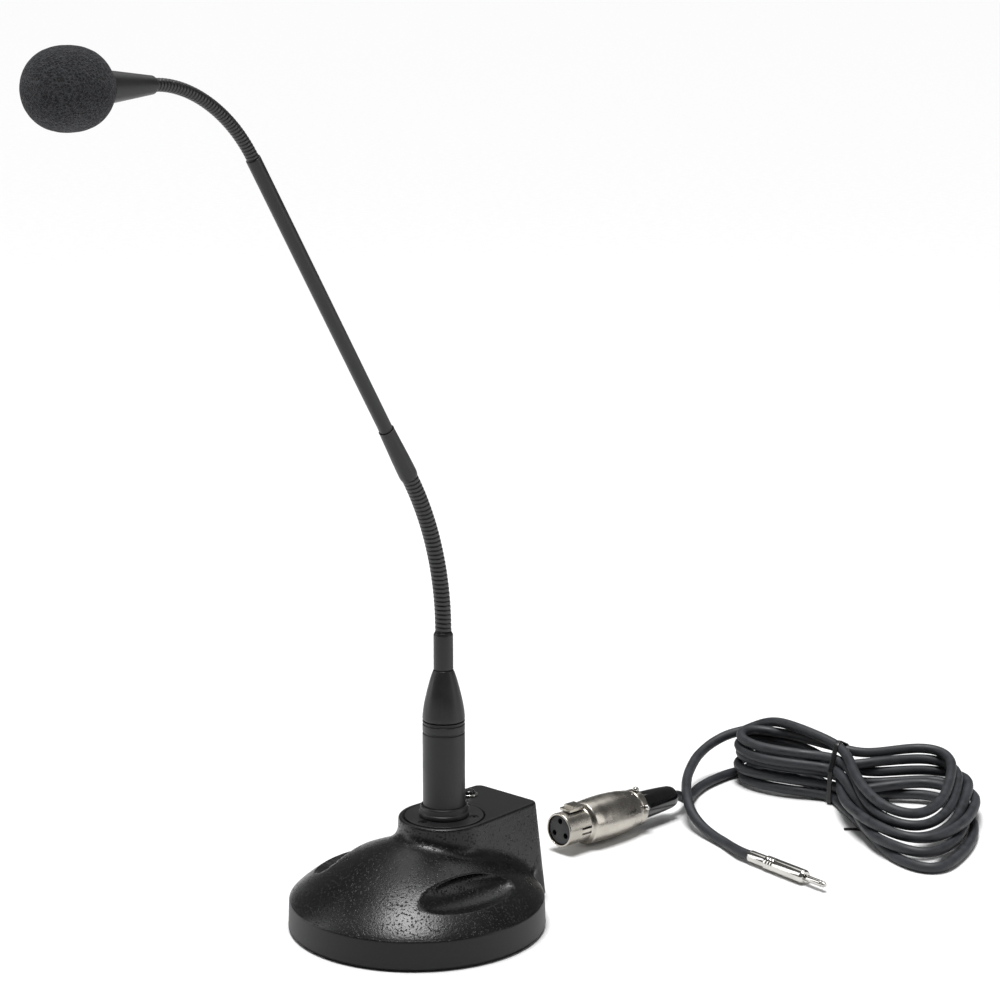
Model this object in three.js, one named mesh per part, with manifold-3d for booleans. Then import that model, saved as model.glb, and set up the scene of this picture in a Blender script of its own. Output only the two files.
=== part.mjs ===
// Gooseneck podium microphone: a weighted desk base with a round socket turret, a plug-in
// two-stage gooseneck with a foam windscreen, and its loose connecting cable on the same table.
// Millimetres, +Z up, front towards -Y. The origin is the centre of the round foot, on the table.

import * as THREE from 'three';
import { mergeVertices } from 'three/addons/utils/BufferGeometryUtils.js';
import Module from 'manifold-3d';

const wasm = await Module();
wasm.setup();

// ---------------------------------------------------------------- driving dimensions
const GAP = 0.3;                    // clearance between pieces that touch
const DEG = Math.PI / 180;

const BASE_RADIUS = 66;             // round foot
const SKIRT_TOP = 15.5;             // upright skirt under the dome
const DOME_TOP = 44.8;              // apex of the dome, above the table
const DECK = 53.5;                  // flat top of turret and rear box
const WALL = 2.6;                   // cast wall
const PAD_THICK = 1.5;
const PLATE_THICK = 2;
const TURRET_Y = 20.3;              // socket axis, behind the centre of the foot
const TURRET_RADIUS = 23.6;
const BOX_CORNER = 4.5;              // rounded rear corners of the box
const BOX_CORNER_X = 17;
const BOX_CORNER_Y = 65;
const DRAFT = 0.12;                 // growth of the turret and box outline, deck to table

const SLEEVE_RADIUS = 10.9;         // plug housing of the microphone
const SLEEVE_BOTTOM = 57.6;
const SLEEVE_TOP = 104.5;
const SPIGOT_RADIUS = 9.4;
const SPIGOT_BOTTOM = 36;
const NOSE_TOP = 131.2;
const FERRULE_RADIUS = 5.05;
const NECK_START = 151.3;           // where the lower gooseneck leaves its ferrule

const LOWER_LENGTH = 87;
const LOWER_RADIUS = 4.2;
const STEM_LEAN = 31.4 * DEG;       // lean of the straight tube from upright
const COUPLING_LENGTH = 31.2;
const STEM_LENGTH = 192.1;          // coupling and tube together
const TUBE_RADIUS = 3.52;
const UPPER_LENGTH = 69.8;
const UPPER_RADIUS = 3;
const UPPER_TURN = 50.2 * DEG;        // even part of the upper bend
const UPPER_HOOK = 7.8 * DEG;        // extra bend close to the head
const LOWER_HINGES = 6;             // hinge points in the lower gooseneck
const UPPER_HINGES = 4;
const LINK_GAP = 0.9;               // from a hinge point to each link's end
const RIDGE_PITCH = 3;

const FOAM_HALF_LENGTH = 20;
const FOAM_RADIUS = 18.4;
const FOAM_CENTRE = 47.8;           // from the small end of the capsule housing
const FOAM_CAVITY_RADIUS = 8;
const FOAM_CAVITY_END = 45;

const CABLE_RADIUS = 2.9;
const XLR_LENGTH = 92;

// ---------------------------------------------------------------- geometry helpers

/** Closed, merged, outward-facing copy of a geometry, with positions only. */
function solid(geometry) {
  const bare = geometry.clone();
  for (const name of ['normal', 'uv', 'color']) bare.deleteAttribute(name);
  if (bare.groups) bare.clearGroups();
  const merged = mergeVertices(bare, 1e-4);
  const index = Array.from(merged.index.array);
  const kept = [];
  for (let i = 0; i < index.length; i += 3) {
    const [a, b, c] = index.slice(i, i + 3);
    if (a !== b && b !== c && c !== a) kept.push(a, b, c);
  }
  merged.setIndex(signedVolume(merged, kept) < 0 ? flipped(kept) : kept);
  merged.computeVertexNormals();
  return merged;
}

/** Six times the signed volume enclosed by an index list. */
function signedVolume(geometry, index) {
  const p = geometry.attributes.position;
  const corner = (i) => new THREE.Vector3().fromBufferAttribute(p, i);
  let sum = 0;
  for (let i = 0; i < index.length; i += 3) {
    sum += corner(index[i]).dot(corner(index[i + 1]).cross(corner(index[i + 2])));
  }
  return sum;
}

/** The same triangles, wound the other way. */
function flipped(index) {
  const out = [];
  for (let i = 0; i < index.length; i += 3) out.push(index[i], index[i + 2], index[i + 1]);
  return out;
}

/** Geometry to a manifold-3d solid. */
function toManifold(geometry) {
  const g = solid(geometry);
  const vertProperties = new Float32Array(g.attributes.position.array);
  const triVerts = new Uint32Array(g.index.array);
  return new wasm.Manifold(new wasm.Mesh({ numProp: 3, vertProperties, triVerts }));
}

/** A manifold-3d solid back to a geometry. */
function fromManifold(body) {
  const mesh = body.getMesh();
  const geometry = new THREE.BufferGeometry();
  geometry.setAttribute('position', new THREE.BufferAttribute(new Float32Array(mesh.vertProperties), 3));
  geometry.setIndex(Array.from(mesh.triVerts));
  geometry.computeVertexNormals();
  return geometry;
}

/** First geometry with the joined ones added and the cut ones taken away. */
function carve(start, { add = [], cut = [] }) {
  let body = toManifold(start);
  for (const g of add) body = body.add(toManifold(g));
  for (const g of cut) body = body.subtract(toManifold(g));
  return fromManifold(body);
}

/** Solid of revolution about Z from [radius, z] pairs; a pair list closes on itself or on the axis. */
function turned(profile, segments = 24, ring = false) {
  const points = profile.map(([r, z]) => new THREE.Vector2(r, z));
  if (ring) points.push(points[0].clone());
  const lathe = new THREE.LatheGeometry(points, segments);
  lathe.rotateX(Math.PI / 2);
  return solid(lathe);
}

/** Upright cylinder between two heights, moved to x, y. */
function post(radius, low, high, x = 0, y = 0, segments = 16) {
  const g = new THREE.CylinderGeometry(radius, radius, high - low, segments);
  g.rotateX(Math.PI / 2);
  g.translate(x, y, (low + high) / 2);
  return g;
}

/** Box from its low and high corners. */
function block(low, high) {
  const size = high.map((v, i) => v - low[i]);
  const g = new THREE.BoxGeometry(...size);
  g.translate(...low.map((v, i) => v + size[i] / 2));
  return g;
}

/** Flat shape extruded up from a height. */
function slab(shape, low, thickness, curveSegments = 12, options = {}) {
  const g = new THREE.ExtrudeGeometry(shape, {
    depth: thickness, bevelEnabled: false, curveSegments, ...options,
  });
  g.translate(0, 0, low);
  return g;
}

/** Round tube along a smooth curve through points. */
function tube(points, radius, sides = 8, steps = 30) {
  const curve = new THREE.CatmullRomCurve3(points.map((p) => new THREE.Vector3(...p)), false, 'centripetal');
  const section = new THREE.Shape();
  for (let i = 0; i < sides; i += 1) {
    const a = (i / sides) * 2 * Math.PI;
    const put = i === 0 ? 'moveTo' : 'lineTo';
    section[put](radius * Math.cos(a), radius * Math.sin(a));
  }
  section.closePath();
  return solid(new THREE.ExtrudeGeometry(section, { steps, bevelEnabled: false, extrudePath: curve }));
}

/** Angle of the outward normal where two circles' common tangent touches them, on the +x side. */
function tangentAngle(from, to) {
  const dx = to.x - from.x;
  const dy = to.y - from.y;
  return Math.atan2(dy, dx) - Math.acos((from.r - to.r) / Math.hypot(dx, dy));
}

/** Turret circle joined by tangents to the rear box's two rounded corners, grown by an offset. */
function towerOutline(offset = 0) {
  const turret = { x: 0, y: TURRET_Y, r: TURRET_RADIUS + offset };
  const corner = { x: BOX_CORNER_X, y: BOX_CORNER_Y, r: BOX_CORNER + offset };
  const a = tangentAngle(turret, corner);
  const shape = new THREE.Shape();
  shape.absarc(corner.x, corner.y, corner.r, a, Math.PI / 2, false);
  shape.absarc(-corner.x, corner.y, corner.r, Math.PI / 2, Math.PI - a, false);
  shape.absarc(turret.x, turret.y, turret.r, Math.PI - a, 2 * Math.PI + a, false);
  return shape;
}

/** Growth of the tower's outline at a height. */
function draftAt(z) {
  return 1 + (DRAFT * (DECK - z)) / DECK;
}

/** Spreads a tower solid outwards below the deck, about the turret's axis. */
function drafted(geometry) {
  const p = geometry.attributes.position;
  for (let i = 0; i < p.count; i += 1) {
    const k = draftAt(p.getZ(i));
    p.setXY(i, p.getX(i) * k, TURRET_Y + (p.getY(i) - TURRET_Y) * k);
  }
  return geometry;
}

/** Foot outline: a circle with the rear box's tail. */
function footOutline(radius, tailHalfWidth, tailY) {
  const corner = BOX_CORNER;
  const a = Math.acos(tailHalfWidth / radius);
  const shape = new THREE.Shape();
  shape.absarc(0, 0, radius, Math.PI - a, 2 * Math.PI + a, false);
  shape.absarc(tailHalfWidth - corner, tailY - corner, corner, 0, Math.PI / 2, false);
  shape.absarc(corner - tailHalfWidth, tailY - corner, corner, Math.PI / 2, Math.PI, false);
  return shape;
}

/** Round hole in a shape. */
function hole(shape, x, y, radius) {
  const path = new THREE.Path();
  path.absarc(x, y, radius, 0, 2 * Math.PI, true);
  shape.holes.push(path);
}

// ---------------------------------------------------------------- model and materials

const model = new THREE.Group();

const finishes = {
  foam: { color: 0x1c1d20, roughness: 1, metalness: 0 },
  satinBlack: { color: 0x2a2a2b, roughness: 0.55, metalness: 0.3 },
  castBlack: { color: 0x1b1b1c, roughness: 0.35, metalness: 0.2 },
  glossBlack: { color: 0x0d0d0e, roughness: 0.15, metalness: 0 },
  ringBlack: { color: 0x262627, roughness: 0.4, metalness: 0.6 },
  nickel: { color: 0xc9c4ba, roughness: 0.28, metalness: 1 },
  chrome: { color: 0xe2e2e0, roughness: 0.1, metalness: 1 },
  steel: { color: 0x8f9296, roughness: 0.4, metalness: 1 },
  screw: { color: 0x3a3a3c, roughness: 0.35, metalness: 0.9 },
  rubber: { color: 0x18181a, roughness: 0.9, metalness: 0 },
  insert: { color: 0x232427, roughness: 0.6, metalness: 0 },
  gold: { color: 0xc9a14a, roughness: 0.3, metalness: 1 },
  board: { color: 0x1f5a34, roughness: 0.6, metalness: 0 },
  wire: { color: 0x8c2b22, roughness: 0.5, metalness: 0 },
  cable: { color: 0x2e3034, roughness: 0.6, metalness: 0 },
};

/** Named mesh in its own material, added to a parent group. */
function part(name, geometry, finish, parent = model) {
  const mesh = new THREE.Mesh(geometry, new THREE.MeshStandardMaterial({ ...finishes[finish] }));
  mesh.name = name;
  parent.add(mesh);
  return mesh;
}

// ---------------------------------------------------------------- base

const SHELL_BOTTOM = PAD_THICK + GAP;
const PLATE_TOP = SHELL_BOTTOM + PLATE_THICK;
const BOSS_SPOTS = [-90, 30, 150].map((a) => [54 * Math.cos(a * DEG), 54 * Math.sin(a * DEG)]);
const PLATE_SCREW_SPOTS = [-90, 30, 150].map(
  (a) => [15.8 * Math.cos(a * DEG), TURRET_Y + 15.8 * Math.sin(a * DEG)],
);
const BUTTON = { x: -11.8, y: 51.6 };
const OUTLET = { z: 26, flangeWidth: 26, flangeHeight: 31, boreRadius: 9.8 };
const OUTLET_SCREW_SPOTS = [[9.4, 12], [-9.4, -12]];

/** Dome profile from the table up, moved inwards by an inset. */
function domeProfile(inset) {
  const radius = BASE_RADIUS - inset;
  const profile = [[0, -2], [radius, -2], [radius - 0.6, SKIRT_TOP - inset * 0.4]];
  const steps = 8;
  const rim = radius - 1.2;
  for (let i = 0; i < steps; i += 1) {
    const r = rim * Math.cos((i / steps) * 90 * DEG);
    profile.push([r, SKIRT_TOP + 0.4 - inset + (DOME_TOP - SKIRT_TOP) * (1 - (r / rim) ** 1.7) ** 0.9]);
  }
  profile.push([0, DOME_TOP - inset]);
  return profile;
}

/** Long finger scoop in the dome's flank; side is 1 or -1. */
function scoop(side, growth) {
  const g = new THREE.SphereGeometry(1, 16, 10);
  g.scale(9.5 + growth, 31 + growth, 6.2 + growth);
  g.rotateY(side * 32 * DEG);
  g.rotateZ(side * -9 * DEG);
  g.translate(side * 42, -5, 29.4);
  return g;
}

function baseShell() {
  const bevel = 1.3;
  const outer = turned(domeProfile(0), 48);
  const tower = drafted(slab(towerOutline(), -6, DECK - bevel + 6, 8, {
    bevelEnabled: true, bevelThickness: bevel, bevelSize: bevel, bevelOffset: -bevel, bevelSegments: 2,
  }));
  const innerDome = carve(turned(domeProfile(WALL), 32), { cut: [scoop(1, WALL), scoop(-1, WALL)] });
  const innerTower = drafted(slab(towerOutline(-WALL), -4, DECK - WALL + 4, 6));
  const bosses = BOSS_SPOTS.map(([x, y]) => post(3.4, PLATE_TOP + GAP, 27.8, x, y, 10));
  const bossHoles = BOSS_SPOTS.map(([x, y]) => post(1.7, 0, 14, x, y, 10));
  const screwHoles = PLATE_SCREW_SPOTS.map(([x, y]) => post(1.35, 45, 56, x, y, 8));
  let shell = carve(outer, {
    add: [tower],
    cut: [scoop(1, 0), scoop(-1, 0), innerDome, innerTower, block([-90, -90, -20], [90, 90, SHELL_BOTTOM])],
  });
  shell = carve(shell, { add: bosses, cut: [] });
  return carve(shell, {
    cut: [
      ...bossHoles,
      ...screwHoles,
      post(20.9, DECK - 1.5, 60, 0, TURRET_Y, 32),
      post(10.4, 40, 60, 0, TURRET_Y, 24),
      post(4, 40, 60, BUTTON.x, BUTTON.y, 16),
      outletFrame(post(11.9, -8, 8, 0, 0, 24).rotateX(-Math.PI / 2)),
      ...OUTLET_SCREW_SPOTS.map(([x, y]) => outletFrame(post(1.6, -6, 6, x, y, 8).rotateX(-Math.PI / 2))),
    ],
  });
}

/** Slope of the rear face and where the outlet's centre meets it. */
const REAR_TOP_Y = BOX_CORNER_Y + BOX_CORNER;
const REAR_SLOPE = Math.atan(((REAR_TOP_Y - TURRET_Y) * DRAFT) / DECK);
const OUTLET_Y = TURRET_Y + (REAR_TOP_Y - TURRET_Y) * draftAt(OUTLET.z);

/** Moves a geometry built about local +Y = outwards onto the sloping rear face. */
function outletFrame(geometry) {
  geometry.rotateX(REAR_SLOPE);
  geometry.translate(0, OUTLET_Y, OUTLET.z);
  return geometry;
}

/** Foot plate or pad: foot outline with the four screw holes. */
function footSheet(radius, tailHalfWidth, tailY, holeRadius, low, thickness) {
  const shape = footOutline(radius, tailHalfWidth, tailY);
  for (const [x, y] of BOSS_SPOTS) hole(shape, x, y, holeRadius);
  return solid(slab(shape, low, thickness, 20));
}

/** Screw with its head down: head disc, then shaft. */
function footScrew(x, y) {
  const profile = [[0, 0.5], [2.8, 0.5], [2.8, PAD_THICK], [1.4, PAD_THICK], [1.4, 12.5], [0, 12.5]];
  return turned(profile, 12).translate(x, y, 0);
}

/** Small countersunk-in-counterbore screw in the socket plate, with a hexagon recess. */
function plateScrew(x, y) {
  const top = DECK + 0.1;
  const head = turned([[0, 46], [1, 46], [1, DECK - 1.2], [2.1, DECK - 1.2], [2.1, top], [0, top]], 12);
  const key = post(0.9, top - 0.7, top + 1, 0, 0, 6);
  return carve(head, { cut: [key] }).translate(x, y, 0);
}

function socketPlate() {
  const shape = new THREE.Shape();
  shape.absarc(0, TURRET_Y, 20.3, 0, 2 * Math.PI, false);
  hole(shape, 0, TURRET_Y, 10.4);
  for (const [x, y] of PLATE_SCREW_SPOTS) hole(shape, x, y, 2.4);
  return solid(slab(shape, DECK - 1.2, 1.3, 12));
}

/** Three spots of the connector pin pattern, about the origin. */
const PIN_SPOTS = [90, 210, 330].map((a) => [5 * Math.cos(a * DEG), 5 * Math.sin(a * DEG)]);

/** Round insert with three round holes cut into its front end. */
function pinInsert(radius, low, high, holeLow, holeHigh) {
  const body = turned([[0, low], [radius, low], [radius, high], [0, high]], 24);
  return carve(body, { cut: PIN_SPOTS.map(([x, y]) => post(1.65, holeLow, holeHigh, x, y, 10)) });
}

/** Insert disc with the three contact pins standing out of it, from its face to the pins' tips. */
function pinCarrier(discProfile, radius, face, tip) {
  const disc = turned(discProfile, 24);
  const away = Math.sign(tip - face);
  const pin = (x, y) => turned(
    [[0, face - away], [radius, face - away], [radius, tip - away * 0.8], [radius * 0.6, tip], [0, tip]], 10,
  ).translate(x, y, 0);
  return carve(disc, { add: PIN_SPOTS.map(([x, y]) => pin(x, y)) });
}

part('foot_pad', footSheet(64.6, 22.6, 75.1, 3.4, 0, PAD_THICK), 'rubber');
part('base_plate', footSheet(62.6, 19.6, 71.4, 1.8, SHELL_BOTTOM, PLATE_THICK), 'steel');
part('base_shell', baseShell(), 'castBlack');
BOSS_SPOTS.forEach(([x, y], i) => part(`foot_screw_${i + 1}`, footScrew(x, y), 'screw'));
part('ballast_weight', turned(
  [[0, PLATE_TOP + GAP], [34, PLATE_TOP + GAP], [34, 13.6], [32.5, 15], [0, 15]], 32,
).translate(0, -14, 0), 'steel');

part('socket_plate', socketPlate(), 'satinBlack');
PLATE_SCREW_SPOTS.forEach(([x, y], i) => part(`socket_screw_${i + 1}`, plateScrew(x, y), 'screw'));
part('socket_collar', turned([
  [9.8, DECK + 0.4], [12.9, DECK + 0.4], [12.9, 56], [12.3, 56.4], [12.3, 58.8], [11.7, 59.6],
  [11.25, 59.6], [11.25, 57.2], [9.8, 57.2],
], 32, true).translate(0, TURRET_Y, 0), 'glossBlack');
part('socket_housing', turned([
  [0, 26], [12.6, 26], [12.6, 50.6], [9.8, 50.6], [9.8, 28], [0, 28],
], 24).translate(0, TURRET_Y, 0), 'insert');
part('socket_insert', pinInsert(7.4, 28.3, 50, 34, 52).translate(0, TURRET_Y, 0), 'insert');

part('button_bezel', turned([
  [3.3, 48], [3.7, 48], [3.7, DECK + GAP], [4.4, DECK + GAP], [4.4, DECK + 0.8], [4, DECK + 1.3], [3.3, DECK + 1.3],
], 20, true).translate(BUTTON.x, BUTTON.y, 0), 'chrome');
part('push_button', turned([
  [0, 48.9], [2.9, 48.9], [2.9, DECK + 2.5], [2.3, DECK + 3], [0, DECK + 3.2],
], 20).translate(BUTTON.x, BUTTON.y, 0), 'glossBlack');
part('switch_body', block([BUTTON.x - 4.2, BUTTON.y - 4.2, 41.8], [BUTTON.x + 4.2, BUTTON.y + 4.2, 46.6]), 'insert');
part('circuit_board', block([-18, 39, 39.8], [18, 63, 41.4]), 'board');

function outletFlange() {
  const w = OUTLET.flangeWidth / 2;
  const h = OUTLET.flangeHeight / 2;
  const shape = new THREE.Shape();
  const corner = 2.5;
  shape.absarc(w - corner, h - corner, corner, 0, Math.PI / 2, false);
  shape.absarc(corner - w, h - corner, corner, Math.PI / 2, Math.PI, false);
  shape.absarc(corner - w, corner - h, corner, Math.PI, 1.5 * Math.PI, false);
  shape.absarc(w - corner, corner - h, corner, 1.5 * Math.PI, 2 * Math.PI, false);
  const plate = slab(shape, GAP, 1.6, 4);
  const barrel = post(11.4, -20, GAP + 0.5, 0, 0, 24);
  const screwHoles = OUTLET_SCREW_SPOTS.map(([x, y]) => post(1.5, -5, 5, x, y, 8));
  const body = carve(plate, {
    add: [barrel], cut: [post(OUTLET.boreRadius, -17, 9, 0, 0, 24), post(7.6, -25, 9, 0, 0, 20), ...screwHoles],
  });
  return outletFrame(body.rotateX(-Math.PI / 2));
}

part('outlet_shell', outletFlange(), 'nickel');
part('outlet_insert', outletFrame(pinCarrier(
  [[0, -22], [7.2, -22], [7.2, -16.7], [9.4, -16.7], [9.4, -15], [0, -15]], 1.2, -15, -3,
).rotateX(-Math.PI / 2)), 'insert');
OUTLET_SCREW_SPOTS.forEach(([x, y], i) => part(`outlet_screw_${i + 1}`, outletFrame(turned(
  [[0, -4.2], [1.2, -4.2], [1.2, 2.2], [2.4, 2.2], [2.1, 3.3], [0, 3.5]], 12,
).translate(x, y, 0).rotateX(-Math.PI / 2)), 'screw'));

part('socket_leads', tube([
  [0, TURRET_Y, 21.1], [0, TURRET_Y + 1.2, 19], [0, 28, 18.2], [0, 35, 22], [0, 40, 31], [0, 42, 39.4],
], 1.4, 8, 20), 'wire');
part('outlet_leads', tube([
  [0, 49.6, 23], [1.5, 46.5, 23.5], [7, 44, 28], [9, 45, 34], [9, 46, 39.4],
], 1.4, 8, 16), 'wire');

// ---------------------------------------------------------------- plug-in microphone: plug

const plug = new THREE.Group();
plug.position.set(0, TURRET_Y, 0);
model.add(plug);

const GROOVES = [98.6, 103.2];
const groovePoints = GROOVES.flatMap((z) => [
  [SLEEVE_RADIUS, z - 0.5], [SLEEVE_RADIUS - 0.5, z - 0.3], [SLEEVE_RADIUS - 0.5, z + 0.3], [SLEEVE_RADIUS, z + 0.5],
]);

part('plug_sleeve', turned([
  [8, SPIGOT_BOTTOM], [SPIGOT_RADIUS, SPIGOT_BOTTOM], [SPIGOT_RADIUS, SLEEVE_BOTTOM],
  [SLEEVE_RADIUS, SLEEVE_BOTTOM], ...groovePoints, [SLEEVE_RADIUS, SLEEVE_TOP], [8, SLEEVE_TOP],
], 24, true), 'satinBlack', plug);
part('plug_insert', pinCarrier([[0, 52.6], [7.7, 52.6], [7.7, 60.5], [0, 60.5]], 1.2, 52.6, 39), 'insert', plug);
part('plug_nose', turned([
  [2.2, SLEEVE_TOP + GAP], [SLEEVE_RADIUS, SLEEVE_TOP + GAP], [SLEEVE_RADIUS, 107], [10.45, 111], [9.7, 115],
  [8.8, 119], [7.75, 123.3], [6.5, 127.5], [5.45, 130.6], [4.9, NOSE_TOP], [2.2, NOSE_TOP],
], 24, true), 'satinBlack', plug);
part('neck_ferrule', turned([
  [2.2, NOSE_TOP + GAP], [FERRULE_RADIUS, NOSE_TOP + GAP], [FERRULE_RADIUS, NECK_START - 1.6],
  [FERRULE_RADIUS - 0.9, NECK_START - GAP], [2.2, NECK_START - GAP],
], 24, true), 'satinBlack', plug);

// ---------------------------------------------------------------- neck curve in the YZ plane

/** Lean of the neck from upright at a distance along it from the ferrule. */
function leanAt(s) {
  if (s <= LOWER_LENGTH) return (STEM_LEAN * s) / LOWER_LENGTH;
  if (s <= LOWER_LENGTH + STEM_LENGTH) return STEM_LEAN;
  const t = (s - LOWER_LENGTH - STEM_LENGTH) / UPPER_LENGTH;
  return STEM_LEAN + UPPER_TURN * t + UPPER_HOOK * t ** 5;
}

/** Point of the neck's centreline at a distance along it, by adding up short steps. */
function neckPoint(s) {
  const step = 0.05;
  const point = new THREE.Vector3(0, TURRET_Y, NECK_START);
  const count = Math.max(1, Math.ceil(s / step));
  for (let i = 0; i < count; i += 1) {
    const lean = leanAt(((i + 0.5) * s) / count);
    point.y -= (Math.sin(lean) * s) / count;
    point.z += (Math.cos(lean) * s) / count;
  }
  return point;
}

/** Stands a geometry built along +Z between two points of the neck. */
function alongNeck(geometry, from, to) {
  const start = neckPoint(from);
  const direction = neckPoint(to).sub(start).normalize();
  const turn = new THREE.Quaternion().setFromUnitVectors(new THREE.Vector3(0, 0, 1), direction);
  return geometry.applyQuaternion(turn).translate(start.x, start.y, start.z);
}

/** Ridged length of gooseneck with eased ends, built along +Z from low to high. */
function ridged(radius, low, high) {
  const ridges = Math.max(2, Math.round((high - low) / RIDGE_PITCH));
  const pitch = (high - low) / ridges;
  const profile = [[0, low], [radius - 0.9, low]];
  for (let i = 0; i < ridges; i += 1) {
    profile.push([radius, low + (i + 0.5) * pitch]);
    if (i < ridges - 1) profile.push([radius - 0.35, low + (i + 1) * pitch]);
  }
  profile.push([radius - 0.9, high], [0, high]);
  return turned(profile, 12);
}

/** Links of one gooseneck: half a link at each end and whole links between the hinge points. */
function gooseneck(prefix, start, length, radius, hinges) {
  const spacing = length / hinges;
  const edges = [0];
  for (let i = 0; i < hinges; i += 1) edges.push((i + 0.5) * spacing);
  edges.push(length);
  for (let i = 0; i < edges.length - 1; i += 1) {
    const low = i === 0 ? GAP : LINK_GAP;
    const end = edges[i + 1] - edges[i] - (i === edges.length - 2 ? GAP : LINK_GAP);
    const link = alongNeck(ridged(radius, low, end), start + edges[i], start + edges[i + 1]);
    part(`${prefix}_neck_link_${i + 1}`, link, 'ringBlack');
  }
}

const STEM_START = LOWER_LENGTH;
const UPPER_START = LOWER_LENGTH + STEM_LENGTH;
const NECK_END = UPPER_START + UPPER_LENGTH;

gooseneck('lower', 0, LOWER_LENGTH, LOWER_RADIUS, LOWER_HINGES);
gooseneck('upper', UPPER_START, UPPER_LENGTH, UPPER_RADIUS, UPPER_HINGES);

part('stem_coupling', alongNeck(turned([
  [2, 0], [3.6, 0], [4.5, 1.2], [4.7, 3], [4.55, 12], [4.15, 24], [3.95, COUPLING_LENGTH - 0.5],
  [4.05, COUPLING_LENGTH], [3.85, COUPLING_LENGTH], [3.85, 25], [2, 25],
], 24, true), STEM_START, UPPER_START), 'satinBlack');
part('stem_tube', alongNeck(turned([
  [2.6, 25.3], [TUBE_RADIUS, 25.3], [TUBE_RADIUS, STEM_LENGTH], [2.6, STEM_LENGTH],
], 20, true), STEM_START, UPPER_START), 'satinBlack');

// ---------------------------------------------------------------- head

/** Foam outline radius at a distance along the head from the housing's small end. */
function foamRadius(t) {
  const power = 2.3;
  const x = Math.min(1, Math.abs((t - FOAM_CENTRE) / FOAM_HALF_LENGTH));
  return FOAM_RADIUS * (1 - x ** power) ** (1 / power);
}

function foamProfile() {
  const steps = 14;
  const profile = [];
  for (let i = 0; i <= steps; i += 1) {
    const t = FOAM_CENTRE - FOAM_HALF_LENGTH * Math.cos((i / steps) * Math.PI);
    const r = foamRadius(t);
    if (t > FOAM_CENTRE || r > FOAM_CAVITY_RADIUS + 1.5) profile.push([i === steps ? 0 : r, t]);
  }
  const back = FOAM_CENTRE - FOAM_HALF_LENGTH + 0.6;
  return [[0, FOAM_CAVITY_END], [FOAM_CAVITY_RADIUS, FOAM_CAVITY_END], [FOAM_CAVITY_RADIUS, back],
    [FOAM_CAVITY_RADIUS + 1, back], ...profile];
}

/** Places a geometry built along +Z on the head's axis, measured from the end of the neck. */
function onHead(geometry) {
  const lean = leanAt(NECK_END);
  const end = neckPoint(NECK_END);
  return geometry.rotateX(lean).translate(end.x, end.y, end.z);
}

part('capsule_housing', onHead(turned([
  [2, GAP], [3.3, GAP], [4.15, 1.5], [7.05, 24.5], [7.5, 28], [7.6, 30], [7.6, 38.6], [6.6, 38.6], [6.6, 27], [2, 24],
], 28, true)), 'satinBlack');
part('capsule_element', onHead(turned([
  [0, 28], [6.2, 28], [6.2, 36.8], [5.6, 37.4], [0, 37.4],
], 24)), 'steel');
part('capsule_grille', onHead(turned([
  [0, 38.9], [7.6, 38.9], [7.6, 39.8], [6.6, 41.4], [4, 42.6], [0, 43],
], 24)), 'steel');
part('windscreen', onHead(turned(foamProfile(), 24)), 'foam');

// ---------------------------------------------------------------- loose cable on the table

const XLR_NOSE = new THREE.Vector3(-15.4, 127.3, 13.6);
const XLR_END = new THREE.Vector3(-9.6, 219.1, 12);
const JACK_START = new THREE.Vector3(71.8, 187, 4.1);
const JACK_DIRECTION = new THREE.Vector3(0.987, -0.16, 0);

/** Places a geometry built along +Z from a point in a direction, with local +Y upwards. */
function laid(geometry, start, direction) {
  const z = direction.clone().normalize();
  const x = new THREE.Vector3(0, 0, 1).cross(z).normalize();
  const y = new THREE.Vector3().crossVectors(z, x);
  return geometry.applyMatrix4(new THREE.Matrix4().makeBasis(x, y, z).setPosition(start));
}

const onPlug = (geometry) => laid(geometry, XLR_NOSE, XLR_END.clone().sub(XLR_NOSE));
const onJack = (geometry) => laid(geometry, JACK_START, JACK_DIRECTION);

function cableShell() {
  const body = turned([
    [8.4, 0], [9.1, 0], [9.5, 0.5], [9.5, 17], [12, 18.2], [12.6, 26], [12.8, 36], [12.3, 46], [11.1, 54],
    [10.8, 56], [8.4, 56],
  ], 32, true);
  const slots = [[0, 9], [-14, 4]].map(([angle, y]) => {
    const slot = block([-14, -0.6, 9], [-8.9, 0.6, 16.5]);
    return slot.rotateZ((y + angle) * DEG);
  });
  return onPlug(carve(body, { cut: [block([-4.6, 8.1, 4], [4.6, 14, 16]), ...slots] }));
}

part('cable_plug_shell', cableShell(), 'nickel');
part('cable_plug_insert', onPlug(pinInsert(8, 1, 22, -1, 14)), 'insert');
part('cable_plug_latch', onPlug(carve(block([-4.2, 9.8, 4.4], [4.2, 12.6, 15.6]), {
  cut: [block([-5, 11.2, 3], [5, 14, 8])],
})), 'nickel');
part('cable_plug_clamp', onPlug(turned([
  [7.9, 56.3], [10.3, 56.3], [10.6, 57.4], [10.6, 61], [9.8, 62], [7.9, 62],
], 28, true)), 'nickel');
[10, 75].forEach((a, i) => part(`clamp_screw_${i + 1}`, onPlug(solid(post(1.7, 10.9, 12.4, 0, 0, 10)
  .rotateX(-Math.PI / 2).translate(0, 0, 59.2).rotateZ(a * DEG))), 'screw'));
part('cable_plug_boot', onPlug(turned([
  [0, 62.3], [7.9, 62.3], [7.7, 72], [6.9, 86], [6.2, 90], [4.6, XLR_LENGTH], [0, XLR_LENGTH],
], 24)), 'glossBlack');

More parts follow.
